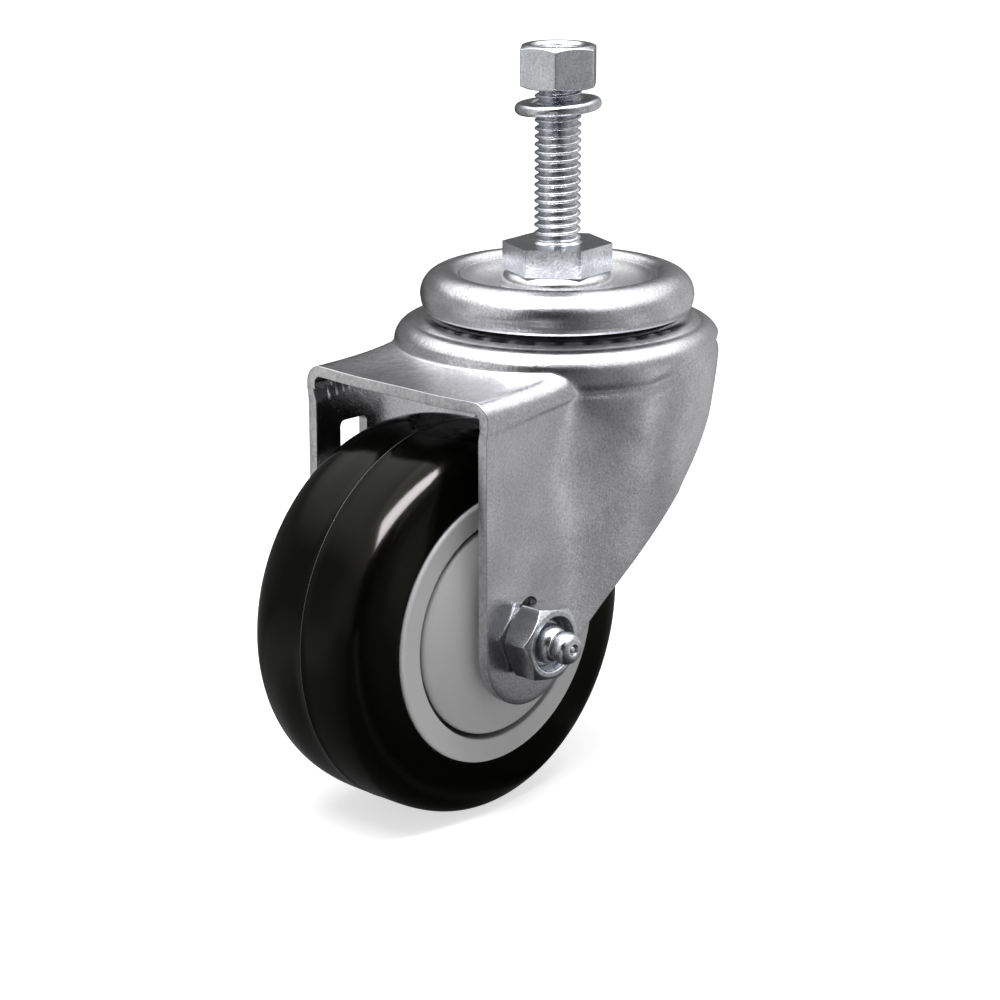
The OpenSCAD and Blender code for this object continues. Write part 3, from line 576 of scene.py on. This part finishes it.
forkLow, forkHigh = boxOf("fork")
fork = {
    "sheet": 2.2, "shoulderR": forkHigh[0], "rollR": 3.9, "rollTop": -15.4, "joinZ": -17.6,
    "legY": 23.8, "frontX": forkLow[0], "bendR": 3.6, "rim": 0.16,
    # the plate climbs to the shoulder, and a little to its corners
    "plateZ": -21.0, "climb": 1.6, "climbOver": 6.0, "cornerRise": 0.4, "cornerFrom": 9.0, "cornerOver": 14.0,
    # facet at the top of each leg, above a slanting line
    "dartRise": 0.34, "dartZ": -24.2, "dartX": -22.7, "dartSlope": 0.11, "dartSoft": 0.5,
    "dartFrom": -18.0, "dartOver": 6.0,
    # each leg's flare leans outwards below a mitre, with a valley along it
    "lean": 9.4, "leanFrom": 4.0, "leanOver": 16.0, "mitreZ": -20.9, "mitreSlope": 0.2,
    "mitreFrom": -8.0, "mitreTo": 10.0, "valley": 0.7, "valleyDrop": 0.3, "valleyWidth": 1.1,
    # how softly the round body and the straight channel blend, and how much more so further down
    "bodySoft": 0.8, "blend": 0.8, "blendGrowth": 6.2, "blendFrom": -22.0, "blendOver": 14.0,
    # free edge: skirt at the rear, a slanting run to the leg's round end, and the front; edgeTurns are
    # the turns about the swivel axis at which its runs meet the shoulder
    "skirtZ": -28.0, "skirtArc": 19.0, "rearX": 22.7, "rearBend": 2.6,
    "endX": axleAt[0], "endZ": axleAt[2] - 1.7, "endR": 11.65,
    "edgeTurns": (0, 34, 38, 44, 88, 112, 141, 149, 180), "spacing": 1.15, "rows": 40,
    "axleHole": 4.84, "notchR": 2.5, "notchRise": 5.6,
    "windowX": -35.6, "windowTop": -32.9, "windowW": 7.2, "windowH": 10.0, "windowR": 1.2,
    # web between the two ball tracks
    "webTop": -17.06, "webLow": -19.26, "webHole": 10.5, "landZ": -15.66,
}


def smoothStep(t):
    t = np.clip(t, 0, 1)
    return t * t * (3 - 2 * t)


def softMin(a, b, k):
    h = np.clip(k - np.abs(a - b), 0, None) / k
    return np.minimum(a, b) - h * h * k / 4


def aroundStem(turns):
    return np.stack([np.cos(turns), -np.sin(turns)], -1)


def rounded(side, top, radius):  # distance to a corner of that radius
    return np.hypot(np.maximum(side, 0), np.maximum(top, 0)) + np.minimum(np.maximum(side, top), 0) - radius


def forkField(p, s):  # below zero inside the block that the fork's outer face wraps
    x, y, z = p[..., 0], np.abs(p[..., 1]), p[..., 2]
    far, roll, bend = np.hypot(x, y), s["rollR"], s["bendR"]
    wall = rounded(far - (s["shoulderR"] - roll), z - (s["rollTop"] - roll), roll)
    lean = math.radians(s["lean"])
    share = smoothStep((y - s["leanFrom"]) / s["leanOver"])
    below = s["mitreZ"] + s["mitreSlope"] * np.clip(x, s["mitreFrom"], s["mitreTo"]) - z
    sway = share * math.tan(lean) * below
    flare = np.hypot(x, (y + sway) * (1 - share * (1 - math.cos(lean)))) - s["shoulderR"]
    body = -softMin(-wall, -flare, s["bodySoft"])
    body = body + s["valley"] * share * np.exp(-((below - s["valleyDrop"]) / s["valleyWidth"]) ** 2)
    line = s["dartZ"] + s["dartSlope"] * (x - s["dartX"])
    dart = smoothStep((z - line) / s["dartSoft"]) * smoothStep((s["dartFrom"] - x) / s["dartOver"])
    legY = s["legY"] + s["dartRise"] * dart
    plate = s["plateZ"] + s["climb"] * np.exp(-np.clip(far - s["shoulderR"], 0, None) / s["climbOver"])
    plate += s["cornerRise"] * smoothStep((y - s["cornerFrom"]) / s["cornerOver"])
    channel = np.maximum(rounded(y - (legY - bend), z - (plate - bend), bend), x)
    lower = smoothStep((s["blendFrom"] - z) / s["blendOver"])
    return softMin(body, channel, s["blend"] + s["blendGrowth"] * lower)


def forkNormal(p, s, step=0.01):
    parts = []
    for axis in range(3):
        shift = np.zeros(3)
        shift[axis] = step
        parts.append((forkField(p + shift, s) - forkField(p - shift, s)) / (2 * step))
    slope = np.stack(parts, -1)
    return slope, np.linalg.norm(slope, axis=-1, keepdims=True)


def ontoFork(p, s, rounds=3):
    for _ in range(rounds):
        slope, size = forkNormal(p, s)
        p = p - slope * (forkField(p, s)[..., None] / size ** 2)
    return p


def crossing(outside, inside, s):  # where the way from outside to inside meets the outer face
    a, b = np.array(outside, float), np.array(inside, float)
    for _ in range(40):
        middle = (a + b) / 2
        within = (forkField(middle, s) < 0)[..., None]
        a, b = np.where(within, a, middle), np.where(within, middle, b)
    return (a + b) / 2


def forkEdge(s):
    # free edge of the near half, from the middle of the skirt round the leg to the middle of the front,
    # with the turn about the swivel axis at which each of its points meets the shoulder
    runs = list(zip(s["edgeTurns"], s["edgeTurns"][1:]))
    points, turns = [], []

    def spaced(length):
        return max(4, round(length / s["spacing"]))

    def add(outside, inside):
        found = crossing(outside, inside, s)
        angles = np.linspace(*runs.pop(0), len(found))
        first = 1 if points else 0
        points.extend(found[first:])
        turns.extend(angles[first:])

    def fromSide(path):
        add([(x, -60, z) for x, z in path], [(x, -12, z) for x, z in path])

    skirt = s["skirtZ"]
    angles = np.radians(np.linspace(*runs[0], spaced(s["skirtArc"])))
    ring = aroundStem(angles)
    add([(60 * x, 60 * y, skirt) for x, y in ring], [(20 * x, 20 * y, skirt) for x, y in ring])
    centre, radius = np.array((s["endX"], s["endZ"])), s["endR"]
    corner = np.array((s["rearX"], skirt))
    away = centre - corner
    far = np.hypot(*away)
    heading = math.atan2(away[1], away[0]) + math.asin(radius / far)
    meets = corner + math.sqrt(far ** 2 - radius ** 2) * np.array((math.cos(heading), math.sin(heading)))
    along = (meets - corner) / np.hypot(*(meets - corner))
    start = points[-1][0]
    bendStart, bendEnd = corner + (s["rearBend"], 0), corner + along * s["rearBend"]
    fromSide([(start + (bendStart[0] - start) * t, skirt) for t in np.linspace(0, 1, 3)])
    fromSide(curve(tuple(bendStart), tuple(corner), tuple(bendEnd), 5))
    length = np.hypot(*(meets - bendEnd))
    fromSide([bendEnd + (meets - bendEnd) * t for t in np.linspace(0, 1, spaced(length))])
    low = math.degrees(math.atan2(*(meets - centre)[::-1]))
    fromSide(arc(centre, radius, low, -180, spaced(radius * math.radians(low + 180))))
    front, bend = s["frontX"], s["bendR"]
    topZ = s["plateZ"] + s["cornerRise"] - bend
    fromSide([(front, z) for z in np.linspace(s["endZ"], topZ, spaced(topZ - s["endZ"]))])
    around = np.radians(np.linspace(180, 90, 9))
    middle = -(s["legY"] - bend)
    add([(front, middle + 20 * math.cos(a), topZ + 20 * math.sin(a)) for a in around],
        [(front, middle + 0.5 * math.cos(a), topZ + 0.5 * math.sin(a)) for a in around])
    across = np.linspace(middle, 0, spaced(-middle))
    add([(front, y, 0) for y in across], [(front, y, -40) for y in across])
    return np.array(points), np.radians(np.array(turns))


def relaxed(grid, s, rounds=220):  # evens the rows and columns out over the outer face
    for k in range(rounds):
        wide = np.concatenate([grid[1:2] * (1, -1, 1), grid, grid[-2:-1] * (1, -1, 1)])
        inner = (wide[:-2, 1:-1] + wide[2:, 1:-1] + grid[:, :-2] + grid[:, 2:]) / 4
        grid = grid.copy()
        grid[:, 1:-1] = ontoFork(inner, s, 1 if k < rounds - 1 else 4)
    return grid


def forkFace(edge, turns, joinTurn, s):  # outer face of the near half and its normals
    joinR, rows = s["shoulderR"] - s["rollR"] + s["rollR"] * math.cos(joinTurn), s["rows"]
    ring = aroundStem(turns)
    top = np.insert(joinR * ring, 2, s["joinZ"], -1)
    share = np.linspace(0, 1, rows)[None, :, None]
    grid = top[:, None] * (1 - share) + edge[:, None] * share
    grid[:, 1:-1] = ontoFork(grid[:, 1:-1], s, 6)
    grid = relaxed(grid, s)
    fine = np.empty((len(grid), 2 * rows - 1, 3))
    fine[:, ::2], fine[:, 1::2] = grid, ontoFork((grid[:, :-1] + grid[:, 1:]) / 2, s)
    grid = relaxed(fine, s, 12)
    slope, size = forkNormal(grid, s)
    normal = slope / size
    normal[:, 0] = np.insert(math.cos(joinTurn) * ring, 2, math.sin(joinTurn), -1)
    return grid, normal


def roundedRim(edge, before, last, s):  # rows round the free edge, from the outer to the inner face
    out = np.cross(np.gradient(edge, axis=0), last)
    out /= np.linalg.norm(out, axis=-1, keepdims=True)
    out *= np.sign(np.sum(out * (edge - before), -1, keepdims=True))
    out[[0, -1], 1] = 0
    last[[0, -1], 1] = 0
    c, t = s["rim"], s["sheet"]
    rim = []
    for a in np.radians((0, 30, 60, 90)):
        rim.append(edge - c * out - c * last + c * (out * math.sin(a) + last * math.cos(a)))
    for a in np.radians((0, 30, 60, 90)):
        rim.append(edge - c * out - (t - c) * last + c * (out * math.cos(a) - last * math.sin(a)))
    return np.stack(rim, 1)


def webProfiles(joinTurn, s):  # turned web with its ball tracks, up to the shoulder: upper and under face
    centre, joinDeg = (s["shoulderR"] - s["rollR"], s["rollTop"] - s["rollR"]), math.degrees(joinTurn)
    hole, top, low, land = s["webHole"], s["webTop"], s["webLow"], s["landZ"]
    upper = [(hole, -19.0), (hole + 0.2, -17.3), (hole + 0.5, top), (14.5, top), (17.0, top)]
    upper += curve((18.2, -16.7), (20.0, -15.7), (20.6, -13.5), 5)
    upper += arc((upperBalls["pitchR"], upperBalls["z"]), upperBalls["ballR"] + trackGap, 236, 300, 9)
    upper += [(24.6, -13.3), (25.1, -14.15), (25.5, -14.5), (26.3, -14.6), (27.2, -14.75), (28.1, -15.25),
              (28.5, -15.42)]
    upper += arc(centre, s["rollR"], 84, joinDeg, 7)[:-1]
    under = arc(centre, s["rollR"] - s["sheet"], joinDeg, 84, 5)[1:]
    under += [(27.0, -17.0), (25.4, -16.2), (24.5, land), (22.9, land + 0.01), (21.8, land)]
    under += curve((21.4, -16.26), (20.7, low + 0.2), (17.9, low), 5) + [(15.1, low)]
    under += arc((lowerBalls["pitchR"], lowerBalls["z"]), lowerBalls["ballR"] + trackGap, 52, 128, 7)
    under += [(11.2, low), (hole + 0.2, -19.2)]
    return upper, under


def buildFork(s):
    edge, turns = forkEdge(s)
    joinTurn = math.asin((s["joinZ"] - (s["rollTop"] - s["rollR"])) / s["rollR"])
    grid, normal = forkFace(edge, turns, joinTurn, s)
    rim = roundedRim(edge, grid[:, -2], normal[:, -1], s)
    outer, inner = grid[:, :-1], (grid - s["sheet"] * normal)[:, :-1][:, ::-1]
    upper, under = webProfiles(joinTurn, s)

    def turned(profile):
        r, z = np.array(profile).T
        return np.insert(aroundStem(turns)[:, None] * r[:, None], 2, z, -1)

    loop = np.concatenate([turned(upper), outer, rim, inner, turned(under)], 1)
    loop = np.concatenate([loop, loop[-2:0:-1] * (1, -1, 1)])  # the far half mirrors the near one
    columns, around = loop.shape[:2]
    index = np.arange(columns * around).reshape(columns, around)
    nextColumn, nextRow = np.roll(index, -1, 0), np.roll(index, -1, 1)
    faces = np.stack([index, nextRow, np.roll(nextColumn, -1, 1), nextColumn], -1).reshape(-1, 4).tolist()
    piece = makePiece("fork_pressed", (loop.reshape(-1, 3), faces), pressedZinc, "fork", ["fork"], 40)
    piece.data.materials.append(shearedZinc)
    rimStart = len(upper) + outer.shape[1] + 2
    for i, face in enumerate(piece.data.polygons):  # the sheared edge between the two roundings of the rim
        face.material_index = int(rimStart <= i % around < rimStart + 3)
    cutHoles(piece, s)


def cutHoles(piece, s):  # the keyhole through both legs and the window in the far one
    def prism(outline, low, high):  # outline in X and Z, between two Y values
        n = len(outline)
        verts = [(x, y, z) for y in (low, high) for x, z in outline]
        faces = [list(range(n))[::-1], list(range(n, 2 * n))]
        return verts, faces + [[i, (i + 1) % n, n + (i + 1) % n, n + i] for i in range(n)]

    centre = (s["endX"], axleAt[2])
    half = math.degrees(math.asin(min(1, s["notchR"] / s["axleHole"])))
    keyhole = arc(centre, s["axleHole"], 90 + half, 450 - half, 44)
    keyhole += arc((centre[0], centre[1] + s["notchRise"]), s["notchR"], 0, 180, 14)
    corner, w, h = s["windowR"], s["windowW"] / 2, s["windowH"] / 2
    window = []
    for i, (sx, sz) in enumerate(((1, 1), (-1, 1), (-1, -1), (1, -1))):
        at = (s["windowX"] + sx * (w - corner), s["windowTop"] - h + sz * (h - corner))
        window += arc(at, corner, 90 * i, 90 * i + 90, 6)
    tools = [newSolid("cutKeyhole", prism(keyhole, -40, 40)), newSolid("cutWindow", prism(window, 10, 40))]
    for tool in tools:
        cut = piece.modifiers.new("cut", "BOOLEAN")
        cut.object = tool
        cut.operation = "DIFFERENCE"
        cut.solver = "EXACT"
    bpy.context.view_layer.update()
    done = bpy.data.meshes.new_from_object(piece.evaluated_get(bpy.context.evaluated_depsgraph_get()))
    piece.modifiers.clear()
    piece.data = done
    done.set_sharp_from_angle(angle=math.radians(40))
    for tool in tools:
        bpy.data.objects.remove(tool)


buildFork(fork)
print("fork built")


# Wheel: tyre, hub and the guards that cover its bearings

tyre = {
    "radius": 38.1, "half": 15.875, "inner": 26.6, "side": 28.3,
    "nearFlat": 3.0, "nearPower": 4.0, "farFlat": 1.0, "farPower": 3.1,
    "seam": 0.06, "seamW": 0.1, "seamAt": 1.1,
}
hub = {
    "rimR": 26.6, "innerR": 21.9, "face": 16.5, "innerRound": 0.35, "rimRound": 0.6, "relief": 0.02,
    "bossR": 17.7, "boss": 15.4, "web": 3.5, "bore": 14.3, "boreEnd": 7.5,
}
guard = {
    "radius": 21.0, "rimY": 16.7, "rimRound": 1.5, "top": 19.6, "sheet": 1.5,
    "collarR": 9.0, "seat": 21.6, "bore": 6.35, "sleeveR": 8.92, "base": 15.4,
}


def buildTyre(s):
    half, side, top = s["half"], s["side"], s["radius"]

    def sideOf(power, flat):  # from the hub out over the shoulder to the tread
        points = [(s["inner"], half - 0.5), (s["inner"] + 0.3, half - 0.05), (side - 0.8, half)]
        for degrees in range(0, 91, 5):
            a = math.radians(degrees)
            across = math.cos(a) ** (2 / power) if degrees < 90 else 0.0
            points.append((side + (top - side) * math.sin(a) ** (2 / power), flat + (half - flat) * across))
        return points

    near, far = sideOf(s["nearPower"], s["nearFlat"]), sideOf(s["farPower"], s["farFlat"])
    at, w, crest = s["seamAt"], s["seamW"], top + s["seam"]
    seam = [(top, at + 2.5 * w), (crest, at + 0.6 * w), (crest, at - 0.6 * w), (top, at - 2.5 * w)]
    profile = near + seam + [(r, -y) for r, y in far[::-1]]
    piece = makePiece("tyre_moulded", onAxle(lathe(profile, 200)), tyreBlack, "wheel", ["tyre"], 50)
    piece.data.materials.append(seamHighlightBlack)
    # the seam ridge takes the lighter seam material, a painted highlight
    for face in piece.data.polygons:
        corners = [piece.data.vertices[v].co / mm for v in face.vertices]
        reach = min(math.hypot(c.x - axleAt[0], c.z - axleAt[2]) for c in corners)
        height = -sum(c.y for c in corners) / 4
        face.material_index = int(reach > top - 0.01 and abs(height - at) < 1.2 * w)


def buildHub(s):
    face, fine, soft = s["face"], s["innerRound"], s["rimRound"]
    half = [(s["bore"], s["boreEnd"]), (s["bore"], s["boss"]), (s["bossR"], s["boss"]),
            (s["bossR"], s["web"]), (s["innerR"], s["web"]), (s["innerR"], face - 0.55)]
    half += arc((s["innerR"] + fine, face - fine), fine, 180, 90, 4)
    half += [(s["innerR"] + 0.8, face - s["relief"]), (s["rimR"] - 0.9, face - s["relief"])]
    half += arc((s["rimR"] - soft, face - soft), soft, 90, 0, 5)
    profile = half + [(r, -y) for r, y in half[::-1]]
    makePiece("hub_moulded", onAxle(lathe(profile, 160)), hubGrey, "wheel", ["hub"], 30)


def buildGuard(s, side, name):
    r, rim, soft, collarR = s["radius"], s["rimY"], s["rimRound"], s["collarR"]
    top, under = s["top"], s["top"] - s["sheet"]
    # inner face from the sleeve out to the rim, then back over the dome to the collar
    profile = [(s["bore"], s["base"]), (s["sleeveR"], s["base"]), (s["sleeveR"], under - 0.5)]
    profile += curve((collarR + 0.3, under), (0.72 * r, under - 0.3), (r - 1.2, rim - s["sheet"]), 8)
    profile.append((r - 0.3, rim - s["sheet"]))
    profile += arc((r - soft, rim - 1.2), soft, 0, 55, 8)
    profile += curve((r - 0.7, rim + 0.08), (0.78 * r, top + 0.05), (collarR + 0.4, top), 16)
    profile += [(collarR + 0.05, top + 0.15), (collarR, top + 0.4), (collarR, s["seat"]),
                (s["bore"], s["seat"])]
    shape = onAxle(lathe(profile, 144), side)
    makePiece(name + "_moulded", shape, guardGrey, "fork", [name], 30)


buildTyre(tyre)
buildHub(hub)
buildGuard(guard, 1, "thread_guard_near")
buildGuard(guard, -1, "thread_guard_far")
print("wheel built")


# Axle bolt, its nut and the grease fitting

boltLow, boltHigh = boxOf("axle_bolt")
axle = {
    "radius": 4.76, "legFace": fork["legY"], "end": -boltLow[1], "endChamfer": 0.5, "soft": 0.16,
    "headAcross": 14.29, "headHeight": boltHigh[1] - fork["legY"], "headTurn": 10, "headDrop": 1.1,
    "headCorner": 0.35, "nutAcross": 13.6, "nutHeight": 6.6, "nutTurn": 52, "nutDrop": 0.95, "nutCorner": 0.3,
    "nutPlay": 0.05, "nutLead": 0.3, "recess": 5.45, "recessDepth": 1.7, "nutSoft": 0.18, "flatShare": 0.475,
}
fitting = {
    "base": axle["end"], "length": 7.0, "shoulderR": 3.9, "coneEnd": 2.9, "grooveR": 2.75, "headR": 3.12,
    "tipR": 1.9, "ductR": 0.95, "ductDepth": 1.6, "soft": 0.07,
}


def buildAxle(s):
    head = hexBlock(s["headAcross"], 0, s["headHeight"], s["headTurn"], s["headDrop"],
                    s["headAcross"] * s["flatShare"], [], s["headCorner"])
    head = moved(head, lambda v: (v[0], -v[1], -s["legFace"] - v[2]))
    radius, start, end, chamfer = s["radius"], -s["legFace"] - 1, s["end"], s["endChamfer"]
    shank = lathe([(0, start), (radius, start), (radius, end - chamfer), (radius - chamfer, end), (0, end)], 64,
                  closed=False)
    shape = onAxle(joined(head, shank))
    bolt = makePiece("axle_bolt_turned", shape, turnedZinc, "fork", ["axle_bolt"])
    softenEdges(bolt, s["soft"])
    high, bore, lead = s["nutHeight"], radius + s["nutPlay"], s["nutLead"]
    inside = [(s["recess"], high), (bore, high - s["recessDepth"]), (bore, lead), (bore + lead, 0)]
    flat = s["nutAcross"] * s["flatShare"]
    nut = hexBlock(s["nutAcross"], 0, high, s["nutTurn"], s["nutDrop"], flat, inside, s["nutCorner"],
                   s["nutDrop"])
    nut = moved(nut, lambda v: (v[0], v[1], v[2] + s["legFace"]))
    nut = makePiece("axle_nut_turned", onAxle(nut), turnedZinc, "fork", ["axle_nut"])
    softenEdges(nut, s["nutSoft"])


def buildFitting(s):
    base, tip, cone = s["base"], s["base"] + s["length"], s["base"] + s["coneEnd"]
    shoulder, groove, head, duct = s["shoulderR"], s["grooveR"], s["headR"], s["ductR"]
    profile = [(0, base - 0.5), (shoulder, base - 0.5), (shoulder, base + 0.7)]
    profile += curve((shoulder - 0.05, base + 1.0), (shoulder - 0.2, cone - 0.8), (groove + 0.3, cone), 6)
    profile += [(groove + 0.05, cone + 0.2), (groove, cone + 0.4), (groove + 0.05, cone + 0.6)]
    profile += curve((head - 0.12, cone + 0.85), (head, cone + 1.0), (head, cone + 1.3), 3)
    profile += curve((head, tip - 1.7), (head - 0.1, tip - 0.5), (s["tipR"] + 0.1, tip - 0.05), 8)
    profile += [(s["tipR"], tip), (duct + 0.2, tip), (duct, tip - 0.2), (duct, tip - s["ductDepth"]),
                (0, tip - s["ductDepth"])]
    shape = onAxle(lathe(profile, 64, closed=False))
    piece = makePiece("grease_fitting_turned", shape, turnedZinc, "fork", ["grease_fitting"], 38)
    softenEdges(piece, s["soft"], 38)


buildAxle(axle)
buildFitting(fitting)


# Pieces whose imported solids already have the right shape

keptFinish = {
    "check_ball": ballSteel, "check_spring": groundSteel, "lower_race": pressedZinc, "axle_sleeve": groundSteel,
    "bearing_balls_near": ballSteel, "bearing_balls_far": ballSteel, "bearing_spacer": groundSteel,
}
for part in ("outer", "inner", "shield"):
    for side in ("near", "far"):
        keptFinish["bearing_" + part + "_" + side] = groundSteel
for name, material in keptFinish.items():
    node = frame["nodes"][name]
    node.data.materials.clear()
    node.data.materials.append(material)
print("axle and bearings dressed")


# Studio: floor, lamps, world and the camera at the photograph's angle

studio = {
    "ambient": 0.36, "white": 1.0,
    # how light the sky looks in the castor's metal, by the height of the mirrored ray
    "dome": 1.85, "domeFrom": 0.42, "domeFull": 0.64, "zenith": 1.1, "zenithFrom": 0.93, "zenithFull": 0.99,
    # how far the dark behind the camera raises the dome's start, by compass direction in degrees
    "veilRise": 0.43, "veil": {0: 0.0, 180: 0.0, 195: 0.7, 205: 1.0, 234: 1.0, 246: 0.5, 258: 0.0},
    # how light the cards round the castor look in its metal, by the same directions
    "wallCards": {
        0: 0.6, 12: 0.52, 46: 0.1, 74: 0.2, 92: 0.3, 112: 0.42, 132: 0.4, 149: 0.85, 165: 0.9, 182: 0.6,
        195: 0.1, 208: 0.02, 226: 0.02, 242: 0.15, 268: 0.34, 282: 0.6, 303: 0.44, 333: 0.76, 346: 0.6,
    },
    # the floor's tones as the castor's metal mirrors them, painted on the floor by compass direction
    "floorCards": {
        0: 0.66, 12: 0.54, 34: 0.14, 46: 0.04, 74: 0.08, 92: 0.3, 112: 0.3, 126: 0.3, 137: 0.6, 149: 0.85,
        160: 0.5, 180: 0.2, 200: 0.25, 210: 0.75, 217: 0.3, 226: 0.06, 245: 0.2, 268: 0.34, 280: 0.36,
        291: 0.9, 303: 0.5, 318: 0.48, 333: 0.76, 346: 0.62,
    },
    # floor: half its width, its own tone, its glow near and far as the camera sees it, and how far out its
    # cards fade in from their dim start; that dim near the castor is a painted shadow of the castor in the
    # floor its metal mirrors
    "floorReach": 6.0, "floorTone": 0.86, "floorRough": 0.9, "glowNear": 0.64, "glowFar": 1.0,
    "far": (0.3, 1.3), "nearDim": (0.05, 0.17), "dimStart": 0.25,
    "lamps": {
        "overhead": {"at": (-0.08, -0.02, 0.7), "size": (1.0, 0.8), "along": (1, 0, 0), "power": 3.6},
        "strip": {
            "at": (-0.174, -0.13, 0.46), "size": (0.56, 0.11), "along": (0.845, -0.5, 0.17), "power": 1.9,
        },
        "tyreStrip": {
            "at": (-0.17, -0.127, 0.45), "size": (0.56, 0.26), "along": (0.845, -0.5, 0.17), "power": 40.0,
            "tint": (0.82, 0.79, 1.0), "onto": "tyre_moulded",
        },
    },
    "cameraAt": (-0.40948, -0.36740, 0.10921), "cameraBack": (-0.7005, -0.6550, 0.2830), "lens": 101.98,
}


def surroundTone(tree, vector, tones):  # tone by compass direction
    gradient = addNode(tree, "ShaderNodeTexGradient", gradient_type="RADIAL")
    tree.links.new(vector, gradient.inputs["Vector"])
    ramp = tree.nodes.new("ShaderNodeValToRGB")
    ramp.color_ramp.interpolation = "EASE"
    places = sorted((((turn + 180) % 360) / 360, value) for turn, value in tones.items())
    middle = (places[0][1] + places[-1][1]) / 2
    stops = ramp.color_ramp.elements
    stops[0].position, stops[1].position = 0, 1
    stops[0].color = stops[1].color = tone(middle, middle, middle)
    for at, value in places:
        stops.new(at).color = tone(value, value, value)
    tree.links.new(gradient.outputs["Fac"], ramp.inputs["Fac"])
    return ramp.outputs["Color"]


def seenRays(tree):
    path = addNode(tree, "ShaderNodeLightPath")
    straight = mathNode(tree, "MAXIMUM", path.outputs["Is Camera Ray"], path.outputs["Is Transmission Ray"])
    others = mathNode(tree, "SUBTRACT", 1.0, straight)
    mirrored = mathNode(tree, "MULTIPLY", path.outputs["Is Glossy Ray"], others)
    return straight, mirrored


def ranged(tree, value, fromTo, low=0.0, high=1.0):  # low to high as the value goes over the range
    node = addNode(tree, "ShaderNodeMapRange", in_To_Min=low, in_To_Max=high)
    node.inputs["From Min"].default_value, node.inputs["From Max"].default_value = fromTo
    tree.links.new(value, node.inputs["Value"])
    return node.outputs["Result"]


def buildFloor(s):
    mesh = bpy.data.meshes.new("floor")
    size, low = s["floorReach"], (axleAt[2] - tyre["radius"] - tyre["seam"]) * mm
    corners = [(x * size, y * size, low) for x, y in ((-1, -1), (1, -1), (1, 1), (-1, 1))]
    mesh.from_pydata(corners, [], [(0, 1, 2, 3)])
    newObject("floor", mesh)
    paper = bpy.data.materials.new("paleFloor")
    paper.use_nodes = True
    tree = paper.node_tree
    bsdf = tree.nodes["Principled BSDF"]
    bsdf.inputs["Roughness"].default_value = s["floorRough"]
    bsdf.inputs["Specular IOR Level"].default_value = 0.0
    straight, mirrored = seenRays(tree)
    place = addNode(tree, "ShaderNodeTexCoord")
    away = addNode(tree, "ShaderNodeVectorMath", operation="LENGTH")
    tree.links.new(place.outputs["Object"], away.inputs[0])
    flat = addNode(tree, "ShaderNodeVectorMath", operation="MULTIPLY")
    flat.inputs[1].default_value = (1, 1, 0)
    tree.links.new(place.outputs["Object"], flat.inputs[0])
    flatAway = addNode(tree, "ShaderNodeVectorMath", operation="LENGTH")
    tree.links.new(flat.outputs["Vector"], flatAway.inputs[0])
    fade = ranged(tree, away.outputs["Value"], s["far"], s["glowNear"], s["glowFar"])
    # painted shadow: the floor that the metal mirrors darkens close to the castor
    paintedShadow = ranged(tree, flatAway.outputs["Value"], s["nearDim"], s["dimStart"])
    white, black, paperTone = tone(1, 1, 1), tone(0, 0, 0), tone(*[s["floorTone"]] * 3)
    cards = mixColors(tree, paintedShadow, black, surroundTone(tree, place.outputs["Object"], s["floorCards"]))
    tree.links.new(mixColors(tree, mirrored, paperTone, black), bsdf.inputs["Base Color"])
    tree.links.new(mixColors(tree, mirrored, white, cards), bsdf.inputs["Emission Color"])
    glow = mathNode(tree, "ADD", mathNode(tree, "MULTIPLY", straight, fade), mirrored)
    tree.links.new(glow, bsdf.inputs["Emission Strength"])
    mesh.materials.append(paper)


def buildWorld(s):
    world = bpy.data.worlds.new("studio")
    bpy.context.scene.world = world
    world.use_nodes = True
    tree = world.node_tree
    straight, mirrored = seenRays(tree)
    way = addNode(tree, "ShaderNodeTexCoord").outputs["Generated"]
    split = addNode(tree, "ShaderNodeSeparateXYZ")
    tree.links.new(way, split.inputs[0])
    height = split.outputs["Z"]
    dome, zenith, ambient, white = (tone(v, v, v) for v in (s["dome"], s["zenith"], s["ambient"], s["white"]))
    veil = mathNode(tree, "MULTIPLY", surroundTone(tree, way, s["veil"]), s["veilRise"])
    rise = ranged(tree, mathNode(tree, "SUBTRACT", height, veil), (s["domeFrom"], s["domeFull"]))
    peak = ranged(tree, height, (s["zenithFrom"], s["zenithFull"]))
    sky = mixColors(tree, peak, dome, zenith)
    mirror = mixColors(tree, rise, surroundTone(tree, way, s["wallCards"]), sky)
    light = mixColors(tree, mirrored, ambient, mirror)
    tree.links.new(mixColors(tree, straight, light, white), tree.nodes["Background"].inputs["Color"])


def buildLamp(name, s, aim):
    light = bpy.data.lights.new(name, "AREA")
    light.shape = "RECTANGLE"
    light.size, light.size_y = s["size"]
    light.energy = s["power"]
    light.color = s.get("tint", (1, 1, 1))
    lamp = newObject(name, light)
    back = (Vector(s["at"]) - aim).normalized()
    across = back.cross(Vector(s["along"])).normalized()
    axes = Matrix((across.cross(back), across, back)).transposed()
    lamp.matrix_world = Matrix.Translation(s["at"]) @ axes.to_4x4()
    lamp.visible_camera = False
    if "onto" in s:  # lights that piece alone, and only its gloss
        lamp.visible_diffuse = False
        only = bpy.data.collections.new(name)
        only.objects.link(bpy.data.objects[s["onto"]])
        lamp.light_linking.receiver_collection = only


def buildCamera(s):
    lens = bpy.data.cameras.new("camera")
    lens.lens = s["lens"]
    lens.sensor_width = 36
    lens.clip_start, lens.clip_end = 0.01, 20
    camera = newObject("camera", lens)
    camera.location = s["cameraAt"]
    camera.rotation_euler = Vector(s["cameraBack"]).to_track_quat("Z", "Y").to_euler()
    bpy.context.scene.camera = camera


buildFloor(studio)
buildWorld(studio)
for name, s in studio["lamps"].items():
    buildLamp(name, s, Vector((axleAt[0] / 2, 0, -40)) * mm)
buildCamera(studio)
bpy.context.scene.view_settings.view_transform = "Standard"
print("studio ready")
